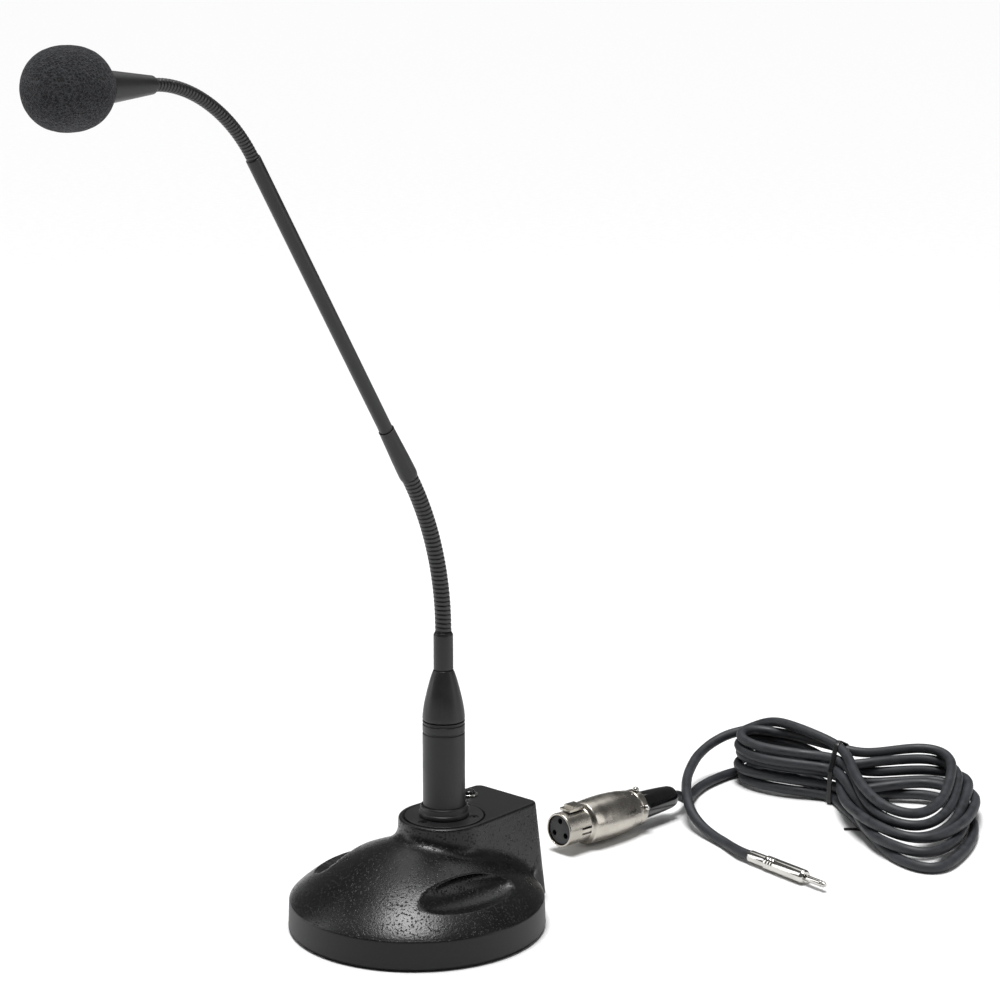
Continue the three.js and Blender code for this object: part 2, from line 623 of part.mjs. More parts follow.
const LEAD_IN = [
  [-9.57, 219.6, 12], [-9.5, 223.6, 11.2], [-10.5, 229.4, 8.4], [-12.9, 236.2, 5.2], [-16.2, 244, 3.5],
  [-20.5, 253, 3.1], [-24.4, 265, 3.1], [-26.6, 278, 3.1], [-27, 290, 3.1],
];
const LEAD_OUT = [
  [-22.6, 317.6, 27.6], [-28.6, 311.6, 26], [-34.4, 303, 24], [-37.2, 291.5, 21], [-35, 276, 18],
  [-25.1, 255, 16], [-11.7, 234.8, 15.3], [2.6, 218, 13.2], [13.4, 209.4, 8.8], [24.4, 204.4, 5.3],
  [35.4, 200.6, 3.5], [46.5, 196.6, 3.1], [56, 192, 3.5], [65, 188.1, 4.1], [71.45, 187.06, 4.1],
];

const HANK = {
  low: 2, high: 32, left: [-1, 302, 22], waist: [42, 313, 14], right: [111, 279, 62, 42], rightTurn: -47.4 * DEG,
};

/** Bow-tie outline of the tied hank: round lobes at both ends and a narrow waist. */
function hankOutline() {
  const [lx, ly, lr] = HANK.left;
  const [wx, wy, wr] = HANK.waist;
  const [rx, ry, major, minor] = HANK.right;
  const shape = new THREE.Shape();
  shape.absellipse(rx, ry, major, minor, -110 * DEG, 170 * DEG, false, HANK.rightTurn);
  shape.quadraticCurveTo(wx + 20, wy + wr, wx + 2, wy + wr);
  shape.lineTo(wx - 2, wy + wr);
  shape.quadraticCurveTo(wx - 22, wy + wr, lx, ly + lr);
  shape.absarc(lx, ly, lr, 90 * DEG, 270 * DEG, false);
  shape.quadraticCurveTo(wx - 22, wy - wr, wx - 2, wy - wr);
  shape.lineTo(wx + 2, wy - wr);
  return shape;
}

/** Flat twist tie round the hank's waist. */
function tieRing() {
  const [wx, wy, wr] = HANK.waist;
  const inner = block([wx - 5, wy - wr - GAP, HANK.low - GAP], [wx + 5, wy + wr + GAP, HANK.high + GAP]);
  const outer = block([wx - 1.3, wy - wr - 1.4, HANK.low - 1.4], [wx + 1.3, wy + wr + 1.4, HANK.high + 1.4]);
  return carve(outer, { cut: [inner] });
}

part('cable_lead_in', tube(LEAD_IN, CABLE_RADIUS, 8, 18), 'cable');
part('cable_hank', solid(slab(hankOutline(), HANK.low, HANK.high - HANK.low, 12)), 'cable');
part('cable_tie', tieRing(), 'rubber');
part('cable_lead_out', tube(LEAD_OUT, CABLE_RADIUS, 8, 44), 'cable');
part('jack_collar', onJack(turned([
  [0, 0], [3.7, 0], [3.9, 0.4], [3.9, 12.6], [0, 12.6],
], 20)), 'chrome');
part('jack_barrel', onJack(turned([
  [0, 12.9], [4, 12.9], [4, 15], [3.6, 15.4], [4, 15.8], [4, 17], [3.6, 17.4], [4, 17.8], [4, 19], [3.6, 19.4],
  [4, 19.8], [4, 41], [3.2, 42.6], [0, 42.6],
], 20)), 'chrome');
part('jack_pin', onJack(turned([
  [0, 42.9], [1.75, 42.9], [1.75, 54], [1.3, 54.5], [1.7, 55.6], [0.9, 57.2], [0, 57.4],
], 14)), 'chrome');

export default model;
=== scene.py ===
"""Gooseneck podium microphone: surfaces, finishes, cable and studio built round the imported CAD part.

Lengths are written in millimetres and turned into Blender's metres where meshes are made. Every
piece is built where the CAD part has it, so the finished object stands at the origin.
"""

import logging
from dataclasses import dataclass
from enum import Enum

import bpy
import numpy as np
from mathutils import Matrix


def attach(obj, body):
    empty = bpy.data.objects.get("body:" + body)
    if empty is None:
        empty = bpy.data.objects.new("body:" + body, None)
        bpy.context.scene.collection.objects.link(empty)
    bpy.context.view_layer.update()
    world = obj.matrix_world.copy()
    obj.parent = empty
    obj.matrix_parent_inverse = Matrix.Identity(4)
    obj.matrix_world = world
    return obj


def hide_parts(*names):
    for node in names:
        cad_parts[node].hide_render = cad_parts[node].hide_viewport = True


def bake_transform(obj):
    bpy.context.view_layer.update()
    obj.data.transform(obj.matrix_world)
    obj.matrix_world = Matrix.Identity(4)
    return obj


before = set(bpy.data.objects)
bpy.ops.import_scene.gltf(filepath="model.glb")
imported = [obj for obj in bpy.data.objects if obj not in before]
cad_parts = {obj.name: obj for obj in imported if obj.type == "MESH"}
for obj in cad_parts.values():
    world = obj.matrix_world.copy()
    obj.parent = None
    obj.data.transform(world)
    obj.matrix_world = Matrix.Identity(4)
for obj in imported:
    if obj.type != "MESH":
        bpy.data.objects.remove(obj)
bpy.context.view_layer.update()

MM = 0.001
DECK = 53.5
RIDGE_DEPTH = 0.18  # depth of a gooseneck ridge, as a share of its pitch
BEND_REACH = 0.36  # share of a hinge's span, each side, where the centreline is sampled at a sideways hinge; nothing uses the samples
NECK_OVERLAP = 1.5  # how far the end windings run under their neighbours
TURRET_Y = 20.3

log = logging.getLogger("microphone")


class Slot(Enum):
    """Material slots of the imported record."""

    RUBBER = "rubber_pad"
    CAST = "cast_black"
    SATIN = "satin_black"
    GLOSS = "gloss_black"
    RING = "ring_black"
    NICKEL = "nickel"
    CHROME = "chrome"
    SCREW = "screw_dark"
    INSULATOR = "insulator"
    CABLE = "cable"
    FOAM = "foam"


# ------------------------------------------------------------------ shared shader groups


def new_group(name: str, inputs: list[tuple[str, float]], outputs: list[str]) -> bpy.types.NodeTree:
    """Empty shader node group with float sockets.

    Args:
        name: Name of the group.
        inputs: Input socket names with their default values.
        outputs: Output socket names.

    Returns:
        The group, with its input and output nodes called "in" and "out".
    """
    tree = bpy.data.node_groups.new(name, "ShaderNodeTree")
    for label, value in inputs:
        tree.interface.new_socket(label, in_out="INPUT", socket_type="NodeSocketFloat").default_value = value
    for label in outputs:
        tree.interface.new_socket(label, in_out="OUTPUT", socket_type="NodeSocketFloat")
    tree.nodes.new("NodeGroupInput").name = "in"
    tree.nodes.new("NodeGroupOutput").name = "out"
    return tree


@dataclass
class Wiring:
    """Short calls for adding and joining nodes in one node tree."""

    tree: bpy.types.NodeTree

    def node(self, kind: str, **values: object) -> bpy.types.Node:
        """Adds a node; values whose names are sockets are set or linked, others are properties.

        Args:
            kind: Type of the node.
            values: Its properties, and its sockets with _ for a space.

        Returns:
            The new node.
        """
        made = self.tree.nodes.new(kind)
        for key, value in values.items():
            if hasattr(made, key):
                setattr(made, key, value)
            else:
                self.feed(made.inputs[key.replace("_", " ")], value)
        return made

    def feed(self, socket: bpy.types.NodeSocket, value: object) -> None:
        """Links an output socket to a socket, or sets the socket's own value.

        Args:
            socket: Input socket.
            value: Output socket or plain value.
        """
        if isinstance(value, bpy.types.NodeSocket):
            self.tree.links.new(value, socket)
        else:
            socket.default_value = value

    def math(self, operation: str, a: object, b: object = 0.0) -> bpy.types.NodeSocket:
        """Math node of one operation.

        Args:
            operation: Name of the operation.
            a: First input.
            b: Second input.

        Returns:
            Its output.
        """
        made = self.tree.nodes.new("ShaderNodeMath")
        made.operation = operation
        self.feed(made.inputs[0], a)
        self.feed(made.inputs[1], b)
        return made.outputs[0]

    def spread(self, value: object, low: float, high: float, to_low: float, to_high: float) -> bpy.types.NodeSocket:
        """Clamped map of a value from one range to another.

        Args:
            value: Input.
            low: Low end of its range.
            high: High end of its range.
            to_low: What the low end becomes.
            to_high: What the high end becomes.

        Returns:
            The mapped value.
        """
        made = self.tree.nodes.new("ShaderNodeMapRange")
        for socket, number in zip(made.inputs, (value, low, high, to_low, to_high)):
            self.feed(socket, number)
        return made.outputs[0]

    def noise(self, vector: object, scale: float, detail: float = 3.0) -> bpy.types.NodeSocket:
        """Noise value at a scale per metre.

        Args:
            vector: Coordinates.
            scale: Cells per metre.
            detail: Finer layers added.

        Returns:
            The noise value.
        """
        made = self.tree.nodes.new("ShaderNodeTexNoise")
        self.feed(made.inputs["Vector"], vector)
        self.feed(made.inputs["Scale"], scale)
        self.feed(made.inputs["Detail"], detail)
        return made.outputs[0]

    def object_coords(self) -> bpy.types.NodeSocket:
        """Object coordinates."""
        return self.tree.nodes.new("ShaderNodeTexCoord").outputs["Object"]


def grain_group() -> bpy.types.NodeTree:
    """Group giving a fine relief, a slow mottle and rare specks, from object coordinates."""
    tree = new_group("grain", [("Fine", 900.0), ("Coarse", 60.0), ("Speck", 700.0)], ["Relief", "Mottle", "Specks"])
    w = Wiring(tree)
    given, out = tree.nodes["in"], tree.nodes["out"]
    place = w.object_coords()
    w.feed(out.inputs["Relief"], w.noise(place, given.outputs["Fine"], 2.0))
    w.feed(out.inputs["Mottle"], w.spread(w.noise(place, given.outputs["Coarse"], 4.0), 0.35, 0.65, 0.0, 1.0))
    cells = w.node("ShaderNodeTexVoronoi", Vector=place, Scale=given.outputs["Speck"])
    w.feed(out.inputs["Specks"], w.spread(cells.outputs["Distance"], 0.02, 0.2, 1.0, 0.0))
    return tree


GRAIN = grain_group()


# ------------------------------------------------------------------ finishes


@dataclass(frozen=True)
class Finish:
    """One procedural finish: two colours, a roughness range and a relief."""

    name: str
    dark: tuple[float, float, float]
    light: tuple[float, float, float]
    rough: tuple[float, float]
    metallic: float = 0.0
    fine: float = 1500.0
    coarse: float = 70.0
    speck: float = 700.0
    relief: float = 0.00004
    strength: float = 0.35
    coat: float = 0.0
    shine: float = 0.5

    def begin(self) -> tuple[bpy.types.Material, Wiring, bpy.types.Node, bpy.types.Node]:
        """Makes the material, its shader with its constants, and its grain node."""
        material = bpy.data.materials.new(self.name)
        material.use_nodes = True
        w = Wiring(material.node_tree)
        shader = material.node_tree.nodes["Principled BSDF"]
        shader.inputs["Metallic"].default_value = self.metallic
        shader.inputs["Coat Weight"].default_value = self.coat
        shader.inputs["Specular IOR Level"].default_value = self.shine
        grain = w.node("ShaderNodeGroup", node_tree=GRAIN)
        grain.inputs["Fine"].default_value = self.fine
        grain.inputs["Coarse"].default_value = self.coarse
        grain.inputs["Speck"].default_value = self.speck
        return material, w, shader, grain

    def colour(self, w: Wiring, mask: object) -> bpy.types.NodeSocket:
        """Mixes the two colours by a mask.

        Args:
            w: Wiring of the material.
            mask: 0 for the dark colour, 1 for the light one.

        Returns:
            The mixed colour.
        """
        mix = w.tree.nodes.new("ShaderNodeMix")
        mix.data_type = "RGBA"
        w.feed(mix.inputs[0], mask)
        mix.inputs[6].default_value = (*self.dark, 1.0)
        mix.inputs[7].default_value = (*self.light, 1.0)
        return mix.outputs[2]

    def bump(self, w: Wiring, shader: bpy.types.Node, height: object) -> None:
        """Adds relief to the shader's normal.

        Args:
            w: Wiring of the material.
            shader: Shader node.
            height: Height of the relief.
        """
        bump = w.node("ShaderNodeBump", Height=height)
        bump.inputs["Strength"].default_value = self.strength
        bump.inputs["Distance"].default_value = self.relief
        w.feed(shader.inputs["Normal"], bump.outputs[0])

    def build(self) -> bpy.types.Material:
        """Plain moulded, painted or plated surface with mottled colour and gloss."""
        material, w, shader, grain = self.begin()
        w.feed(shader.inputs["Base Color"], self.colour(w, grain.outputs["Mottle"]))
        w.feed(shader.inputs["Roughness"], w.spread(grain.outputs["Mottle"], 0.0, 1.0, *self.rough))
        self.bump(w, shader, grain.outputs["Relief"])
        return material


@dataclass(frozen=True)
class CastPaint(Finish):
    """Pebbled semi-gloss paint of the base: matt upright skirt, dark pits and a fine orange peel."""

    skirt_top: float = 0.0158
    deck: float = 0.0533
    skirt_rough: float = 0.5
    dent: float = 800.0

    def build(self) -> bpy.types.Material:
        """See the class."""
        material, w, shader, grain = self.begin()
        height = w.node("ShaderNodeSeparateXYZ", Vector=w.object_coords()).outputs["Z"]
        skirt = w.spread(height, self.skirt_top, self.skirt_top - 0.0006, 0.0, 1.0)
        deck = w.spread(height, self.deck - 0.0004, self.deck, 0.0, 1.0)
        matt = w.math("MAXIMUM", skirt, deck)
        dents = w.spread(w.noise(w.object_coords(), self.dent, 1.5), 0.35, 0.41, 1.0, 0.0)
        dents = w.math("MULTIPLY", dents, w.spread(matt, 0.0, 1.0, 1.0, 0.15))
        colour = self.colour(w, w.math("MAXIMUM", w.math("MULTIPLY", grain.outputs["Mottle"], 0.45), matt))
        w.feed(shader.inputs["Base Color"], colour)
        gloss = w.spread(grain.outputs["Mottle"], 0.0, 1.0, *self.rough)
        dull = w.math("MAXIMUM", w.math("MULTIPLY", matt, self.skirt_rough), w.math("MULTIPLY", dents, 0.7))
        w.feed(shader.inputs["Roughness"], w.math("MAXIMUM", gloss, dull))
        bright = w.math("MULTIPLY", grain.outputs["Specks"], 0.8)
        height = w.math("SUBTRACT", w.math("ADD", grain.outputs["Relief"], bright), w.math("MULTIPLY", dents, 0.9))
        self.bump(w, shader, w.math("MULTIPLY", height, w.spread(matt, 0.0, 1.0, 1.0, 0.3)))
        return material


@dataclass(frozen=True)
class RingPaint(Finish):
    """Wound gooseneck: rubbed, smoother crests in the lighter colour and painted shade darkening the narrow grooves,
    read from the mesh's own ridge attribute.
    """

    def build(self) -> bpy.types.Material:
        """See the class."""
        material, w, shader, grain = self.begin()
        ridge = w.node("ShaderNodeAttribute", attribute_name="ridge").outputs["Fac"]
        # Painted shade: the colour falls to the dark tone in the grooves, where ridge is low.
        w.feed(shader.inputs["Base Color"], self.colour(w, w.math("POWER", ridge, 3.0)))
        worn = w.math("MULTIPLY", ridge, grain.outputs["Mottle"])
        w.feed(shader.inputs["Roughness"], w.spread(worn, 0.0, 1.0, *self.rough))
        self.bump(w, shader, grain.outputs["Relief"])
        return material


@dataclass(frozen=True)
class OpenFoam(Finish):
    """Open-cell foam: pale strands with painted shade darkening the pores between them."""

    def build(self) -> bpy.types.Material:
        """See the class."""
        material, w, shader, grain = self.begin()
        place = w.object_coords()
        pores = w.node("ShaderNodeTexVoronoi", Vector=place, Scale=self.speck).outputs["Distance"]
        strand = w.math(
            "MULTIPLY", w.spread(pores, 0.15, 0.75, 0.0, 1.0), w.spread(grain.outputs["Relief"], 0.3, 0.7, 0.3, 1.3))
        # Painted shade: the pores take the dark tone, the strands the light one.
        w.feed(shader.inputs["Base Color"], self.colour(w, strand))
        w.feed(shader.inputs["Roughness"], w.spread(grain.outputs["Mottle"], 0.0, 1.0, *self.rough))
        self.bump(w, shader, w.math("ADD", strand, w.math("MULTIPLY", grain.outputs["Relief"], 0.6)))
        return material


@dataclass(frozen=True)
class TurnedMetal(Finish):
    """Turned or brushed plate: fine streaks across one axis and a slow change of gloss."""

    squeeze: tuple[float, float, float] = (1.0, 12.0, 1.0)

    def build(self) -> bpy.types.Material:
        """See the class."""
        material, w, shader, grain = self.begin()
        stretched = w.node("ShaderNodeMapping", Vector=w.object_coords(), Scale=self.squeeze).outputs[0]
        streak = w.noise(stretched, self.fine, 3.0)
        w.feed(shader.inputs["Base Color"], self.colour(w, grain.outputs["Mottle"]))
        mixed = w.math("MULTIPLY", w.math("ADD", streak, grain.outputs["Mottle"]), 0.5)
        w.feed(shader.inputs["Roughness"], w.spread(mixed, 0.2, 0.8, *self.rough))
        self.bump(w, shader, w.math("ADD", streak, grain.outputs["Relief"]))
        return material


class Finishes:
    """Every material of the object, built once."""

    def __init__(self) -> None:
        satin = Finish(
            "satin_coat", (0.010, 0.010, 0.011), (0.017, 0.017, 0.018), (0.36, 0.46), fine=2600.0, shine=0.42)
        self.cast = CastPaint(
            "cast_paint", (0.003, 0.003, 0.0034), (0.006, 0.006, 0.0064), (0.26, 0.33), fine=1100.0, coarse=40.0,
            speck=520.0, relief=0.00014, strength=0.6, shine=0.38,
        ).build()
        self.satin = satin.build()
        self.gloss = Finish(
            "gloss_moulding", (0.004, 0.004, 0.0045), (0.007, 0.007, 0.008), (0.12, 0.2), fine=500.0, relief=0.00002,
            strength=0.2, coat=0.3,
        ).build()
        # The wound finish's dark tone is painted shade for the grooves; the light tone is the crests' colour.
        self.ring = RingPaint(
            "wound_steel", (0.004, 0.004, 0.004), (0.035, 0.035, 0.036), (0.42, 0.28), 0.35, fine=3000.0,
        ).build()
        self.nickel = TurnedMetal(
            "satin_nickel", (0.40, 0.375, 0.335), (0.52, 0.49, 0.44), (0.2, 0.34), 1.0, fine=900.0, relief=0.00001,
            strength=0.25, squeeze=(4.0, 0.3, 4.0),
        ).build()
        self.chrome = TurnedMetal(
            "bright_chrome", (0.50, 0.49, 0.465), (0.60, 0.59, 0.56), (0.05, 0.13), 1.0, fine=1200.0, relief=0.000004,
            strength=0.15, squeeze=(0.4, 3.0, 3.0),
        ).build()
        self.screw = TurnedMetal(
            "black_steel", (0.02, 0.02, 0.022), (0.06, 0.06, 0.065), (0.25, 0.4), 0.9, fine=2200.0, relief=0.00001,
        ).build()
        self.insert = Finish(
            "insert_moulding", (0.008, 0.0085, 0.01), (0.014, 0.0145, 0.016), (0.45, 0.6), fine=2400.0, relief=0.00003,
        ).build()
        self.rubber = Finish(
            "pad_rubber", (0.006, 0.006, 0.0065), (0.012, 0.012, 0.013), (0.7, 0.85), fine=1800.0, relief=0.00006,
        ).build()
        self.cable = Finish(
            "cable_jacket", (0.014, 0.0155, 0.0185), (0.026, 0.029, 0.034), (0.48, 0.66), fine=1500.0, coarse=160.0,
            relief=0.00005, strength=0.4,
        ).build()
        self.tie = Finish("tie_moulding", (0.004, 0.004, 0.005), (0.009, 0.009, 0.010), (0.25, 0.4), fine=900.0).build()
        # The foam's dark tone is painted shade in the pores; the light tone is the strands' colour.
        self.foam = OpenFoam(
            "open_foam", (0.002, 0.002, 0.0024), (0.058, 0.06, 0.068), (0.85, 1.0), fine=1500.0, coarse=120.0,
            speck=820.0, relief=0.0007, strength=1.0,
        ).build()
        self.steel = TurnedMetal(
            "zinc_sheet", (0.26, 0.27, 0.29), (0.36, 0.37, 0.39), (0.3, 0.45), 1.0, fine=500.0, relief=0.00002,
        ).build()
        self.iron = Finish(
            "raw_iron", (0.05, 0.05, 0.052), (0.1, 0.1, 0.1), (0.6, 0.8), 0.6, fine=800.0, relief=0.0002,
        ).build()
        self.alloy = TurnedMetal(
            "light_alloy", (0.3, 0.31, 0.33), (0.42, 0.43, 0.45), (0.28, 0.42), 1.0, fine=900.0, relief=0.00001,
        ).build()
        self.board = Finish("solder_mask", (0.008, 0.06, 0.02), (0.014, 0.1, 0.035), (0.25, 0.4), fine=600.0).build()
        self.wire = Finish("wire_skin", (0.2, 0.018, 0.012), (0.3, 0.03, 0.02), (0.4, 0.55), fine=900.0).build()


# ------------------------------------------------------------------ mesh helpers


def grid_object(
    name: str, rows: np.ndarray, material: bpy.types.Material, hidden: np.ndarray | None = None, wrap: bool = True,
) -> bpy.types.Object:
    """Smooth mesh over a grid of points.

    Args:
        name: Object name.
        rows: Array (row, column, 3) in millimetres; faces join neighbouring rows and columns.
        material: Its material.
        hidden: Optional mask (row, column) of faces to leave out.
        wrap: Whether the last column joins the first.

    Returns:
        The new object, at the origin.
    """
    count, columns = rows.shape[:2]
    index = np.arange(count * columns).reshape(count, columns)
    right = np.roll(index, -1, axis=1)
    quads = np.stack([index[:-1], right[:-1], right[1:], index[1:]], axis=-1)
    keep = np.ones(quads.shape[:2], bool) if hidden is None else ~hidden
    if not wrap:
        keep[:, -1] = False
    return mesh_object(name, rows.reshape(-1, 3), quads[keep], material)


def mesh_object(name: str, points: np.ndarray, faces: np.ndarray, material: bpy.types.Material) -> bpy.types.Object:
    """Smooth mesh from points in millimetres and faces of one corner count.

    Args:
        name: Name of the object.
        points: Points, in millimetres.
        faces: Rows of point numbers, all with as many corners.
        material: Material of the mesh.

    Returns:
        The new object.
    """
    mesh = bpy.data.meshes.new(name)
    corners = faces.shape[1]
    mesh.vertices.add(len(points))
    mesh.vertices.foreach_set("co", (points * MM).astype(np.float32).ravel())
    mesh.loops.add(faces.size)
    mesh.loops.foreach_set("vertex_index", faces.astype(np.int32).ravel())
    mesh.polygons.add(len(faces))
    mesh.polygons.foreach_set("loop_start", np.arange(0, faces.size, corners, dtype=np.int32))
    mesh.polygons.foreach_set("use_smooth", np.ones(len(faces), bool))
    mesh.update(calc_edges=True)
    mesh.validate()
    mesh.materials.append(material)
    made = bpy.data.objects.new(name, mesh)
    bpy.context.scene.collection.objects.link(made)
    return made


def softened(profile: list[tuple[float, float]], radius: float = 0.25, closed: bool = False) -> np.ndarray:
    """Profile with each corner replaced by a short curve (a quadratic blend between its two sides).

    Args:
        profile: Points (radius, height) in millimetres.
        radius: Largest distance from a corner to where its curve starts.
        closed: Whether the last point joins the first.

    Returns:
        Points of the softened profile.
    """
    p = np.array(profile, float)
    ring = np.vstack([p[-1:], p, p[:1]]) if closed else p
    t = np.linspace(0.0, 1.0, 5)[:, None]
    out = [] if closed else [p[:1]]
    for before, here, after in zip(ring[:-2], ring[1:-1], ring[2:]):
        back, ahead = before - here, after - here
        near = min(radius, 0.45 * np.hypot(*back), 0.45 * np.hypot(*ahead))
        start = here + back / np.hypot(*back) * near
        end = here + ahead / np.hypot(*ahead) * near
        out.append((1 - t) ** 2 * start + 2 * t * (1 - t) * here + t**2 * end)
    out.append(out[0][:1] if closed else p[-1:])
    return np.vstack(out)


@dataclass
class Spot:
    """A place to build a piece that is modelled about local +Z."""

    origin: np.ndarray
    along: np.ndarray
    side: np.ndarray

    @staticmethod
    def upright(x: float, y: float, z: float = 0.0) -> "Spot":
        """Local axes parallel to the object's."""
        return Spot(np.array([x, y, z], float), np.array([0.0, 0.0, 1.0]), np.array([1.0, 0.0, 0.0]))

    @staticmethod
    def lying(origin: tuple[float, float, float], along: np.ndarray) -> "Spot":
        """Local +Z in a lying direction and local +Y upwards.

        Args:
            origin: Place, in millimetres.
            along: Direction of local +Z.

        Returns:
            The spot.
        """
        z = np.array(along, float) / np.linalg.norm(along)
        x = np.cross([0.0, 0.0, 1.0], z)
        return Spot(np.array(origin, float), z, x / np.linalg.norm(x))

    def put(self, local: np.ndarray) -> np.ndarray:
        """Local points to the object's frame.

        Args:
            local: Local points.

        Returns:
            The same points in the object's frame.
        """
        up = np.cross(self.along, self.side)
        return self.origin + local @ np.stack([self.side, up, self.along])


def lathe(
    name: str, profile: np.ndarray, spot: Spot, material: bpy.types.Material, segments: int = 96,
) -> bpy.types.Object:
    """Surface of revolution: each profile point (r, z) goes to (r cos a, r sin a, z) about the spot's axis.

    Args:
        name: Name of the object.
        profile: Points (radius, height) in millimetres.
        spot: Place and axis.
        material: Material of the surface.
        segments: Columns round the axis.

    Returns:
        The new object.
    """
    angle = np.linspace(0.0, 2.0 * np.pi, segments, endpoint=False)
    r, z = profile[:, :1], profile[:, 1:]
    local = np.stack([r * np.cos(angle), r * np.sin(angle), np.broadcast_to(z, (len(profile), segments))], axis=-1)
    return grid_object(name, spot.put(local), material)


def rounded_box(
    name: str, low: tuple[float, float, float], high: tuple[float, float, float], spot: Spot,
    material: bpy.types.Material, bevel: float = 0.3,
) -> bpy.types.Object:
    """Box between two local corners with a bevel on every edge.

    Args:
        name: Name of the object.
        low: Lowest corner, in millimetres.
        high: Highest corner.
        spot: Place and axes.
        material: Material of the box.
        bevel: Width of the bevel.

    Returns:
        The new object, with its bevel still live.
    """
    lo, hi = np.array(low, float), np.array(high, float)
    corner = np.array([[i, j, k] for i in (0, 1) for j in (0, 1) for k in (0, 1)], float)
    faces = np.array([[0, 1, 3, 2], [4, 6, 7, 5], [0, 4, 5, 1], [2, 3, 7, 6], [0, 2, 6, 4], [1, 5, 7, 3]])
    made = mesh_object(name, spot.put(lo + corner * (hi - lo)), faces, material)
    edge = made.modifiers.new("edge", "BEVEL")
    edge.width, edge.segments = bevel * MM, 3
    return made


def cut(target: bpy.types.Object, cutters: list[bpy.types.Object]) -> bpy.types.Object:
    """Takes the cutters' volumes out of a closed mesh and removes the cutters.

    Args:
        target: Mesh to cut.
        cutters: Closed meshes to take out of it.

    Returns:
        The same object with its new mesh.
    """
    for cutter in cutters:
        step = target.modifiers.new("cut", "BOOLEAN")
        step.operation, step.solver, step.object = "DIFFERENCE", "EXACT", cutter
    bpy.context.view_layer.update()
    evaluated = target.evaluated_get(bpy.context.evaluated_depsgraph_get())
    mesh = bpy.data.meshes.new_from_object(evaluated)
    target.modifiers.clear()
    target.data = mesh
    for cutter in cutters:
        bpy.data.objects.remove(cutter)
    flat = np.ones(len(mesh.polygons), bool)
    mesh.polygons.foreach_set("use_smooth", flat)
    mesh.set_sharp_from_angle(angle=np.radians(35.0))
    return target


def finish_piece(piece: bpy.types.Object, body: str, slot: Slot, *nodes: str) -> bpy.types.Object:
    """Makes a piece ride on a body and stand for CAD nodes, which it hides.

    Args:
        piece: The piece.
        body: Body that it rides on.
        slot: Material slot; not used.
        nodes: CAD nodes that it replaces, if any.

    Returns:
        The same piece.
    """
    if nodes:
        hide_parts(*nodes)
    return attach(piece, body)


def paint(node: str, material: bpy.types.Material) -> None:
    """Puts a material on a carried-over CAD node.

    Args:
        node: Name of the node.
        material: Its new material.
    """
    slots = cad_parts[node].data.materials
    slots.clear()
    slots.append(material)


def smooth_max(a: np.ndarray, b: np.ndarray, radius: float) -> np.ndarray:
    """Larger of two distances, rounded over a radius where they are alike.

    Args:
        a: First distance.
        b: Second distance.
        radius: Radius of the rounding.

    Returns:
        The rounded larger distance.
    """
    mix = np.maximum(radius - np.abs(a - b), 0.0)
    return np.maximum(a, b) + mix**2 / (4.0 * radius)


def catmull(points: np.ndarray, step: float) -> np.ndarray:
    """Centripetal spline through points, resampled at an even step along it.

    Args:
        points: Points that it passes through.
        step: Distance between the new points.

    Returns:
        Points along the spline.
    """
    p = np.vstack([2 * points[0] - points[1], points, 2 * points[-1] - points[-2]])
    knot = np.concatenate([[0.0], np.cumsum(np.sqrt(np.linalg.norm(np.diff(p, axis=0), axis=1)))])
    dense = []
    for i in range(1, len(p) - 2):
        t = np.linspace(knot[i], knot[i + 1], 24, endpoint=False)[:, None]
        t0, t1, t2, t3 = knot[i - 1 : i + 3]
        a1 = ((t1 - t) * p[i - 1] + (t - t0) * p[i]) / (t1 - t0)
        a2 = ((t2 - t) * p[i] + (t - t1) * p[i + 1]) / (t2 - t1)
        a3 = ((t3 - t) * p[i + 1] + (t - t2) * p[i + 2]) / (t3 - t2)
        b1 = ((t2 - t) * a1 + (t - t0) * a2) / (t2 - t0)
        b2 = ((t3 - t) * a2 + (t - t1) * a3) / (t3 - t1)
        dense.append(((t2 - t) * b1 + (t - t1) * b2) / (t2 - t1))
    return even(np.vstack([*dense, points[-1:]]), step)


def even(line: np.ndarray, step: float) -> np.ndarray:
    """The same line with points at an even step.

    Args:
        line: Points along the line.
        step: Distance between the new points.

    Returns:
        Points along the line.
    """
    along = np.concatenate([[0.0], np.cumsum(np.linalg.norm(np.diff(line, axis=0), axis=1))])
    marks = np.linspace(0.0, along[-1], int(round(along[-1] / step)) + 1)
    return np.stack([np.interp(marks, along, line[:, k]) for k in range(3)], axis=1)


# ------------------------------------------------------------------ base


@dataclass
class BaseSize:
    """Sizes of the cast base, in millimetres."""

    foot_radius: float = 66.0
    skirt_top: float = 15.5
    dome_top: float = 44.8
    bottom: float = 1.8
    turret_radius: float = 23.6
    corner: float = 4.5
    corner_x: float = 17.0
    corner_y: float = 65.0
    draft: float = 0.12
    fillet: float = 5.5
    deck_edge: float = 1.6
    recess_radius: float = 20.8
    recess_floor: float = 52.2
    scoop_centre: tuple[float, float, float] = (42.0, -5.0, 29.4)
    scoop_half: tuple[float, float, float] = (9.5, 31.0, 6.2)
    scoop_tilt: float = 32.0
    scoop_yaw: float = -9.0
    outlet_radius: float = 10.6
    outlet_z: float = 26.0
    socket_radius: float = 10.1


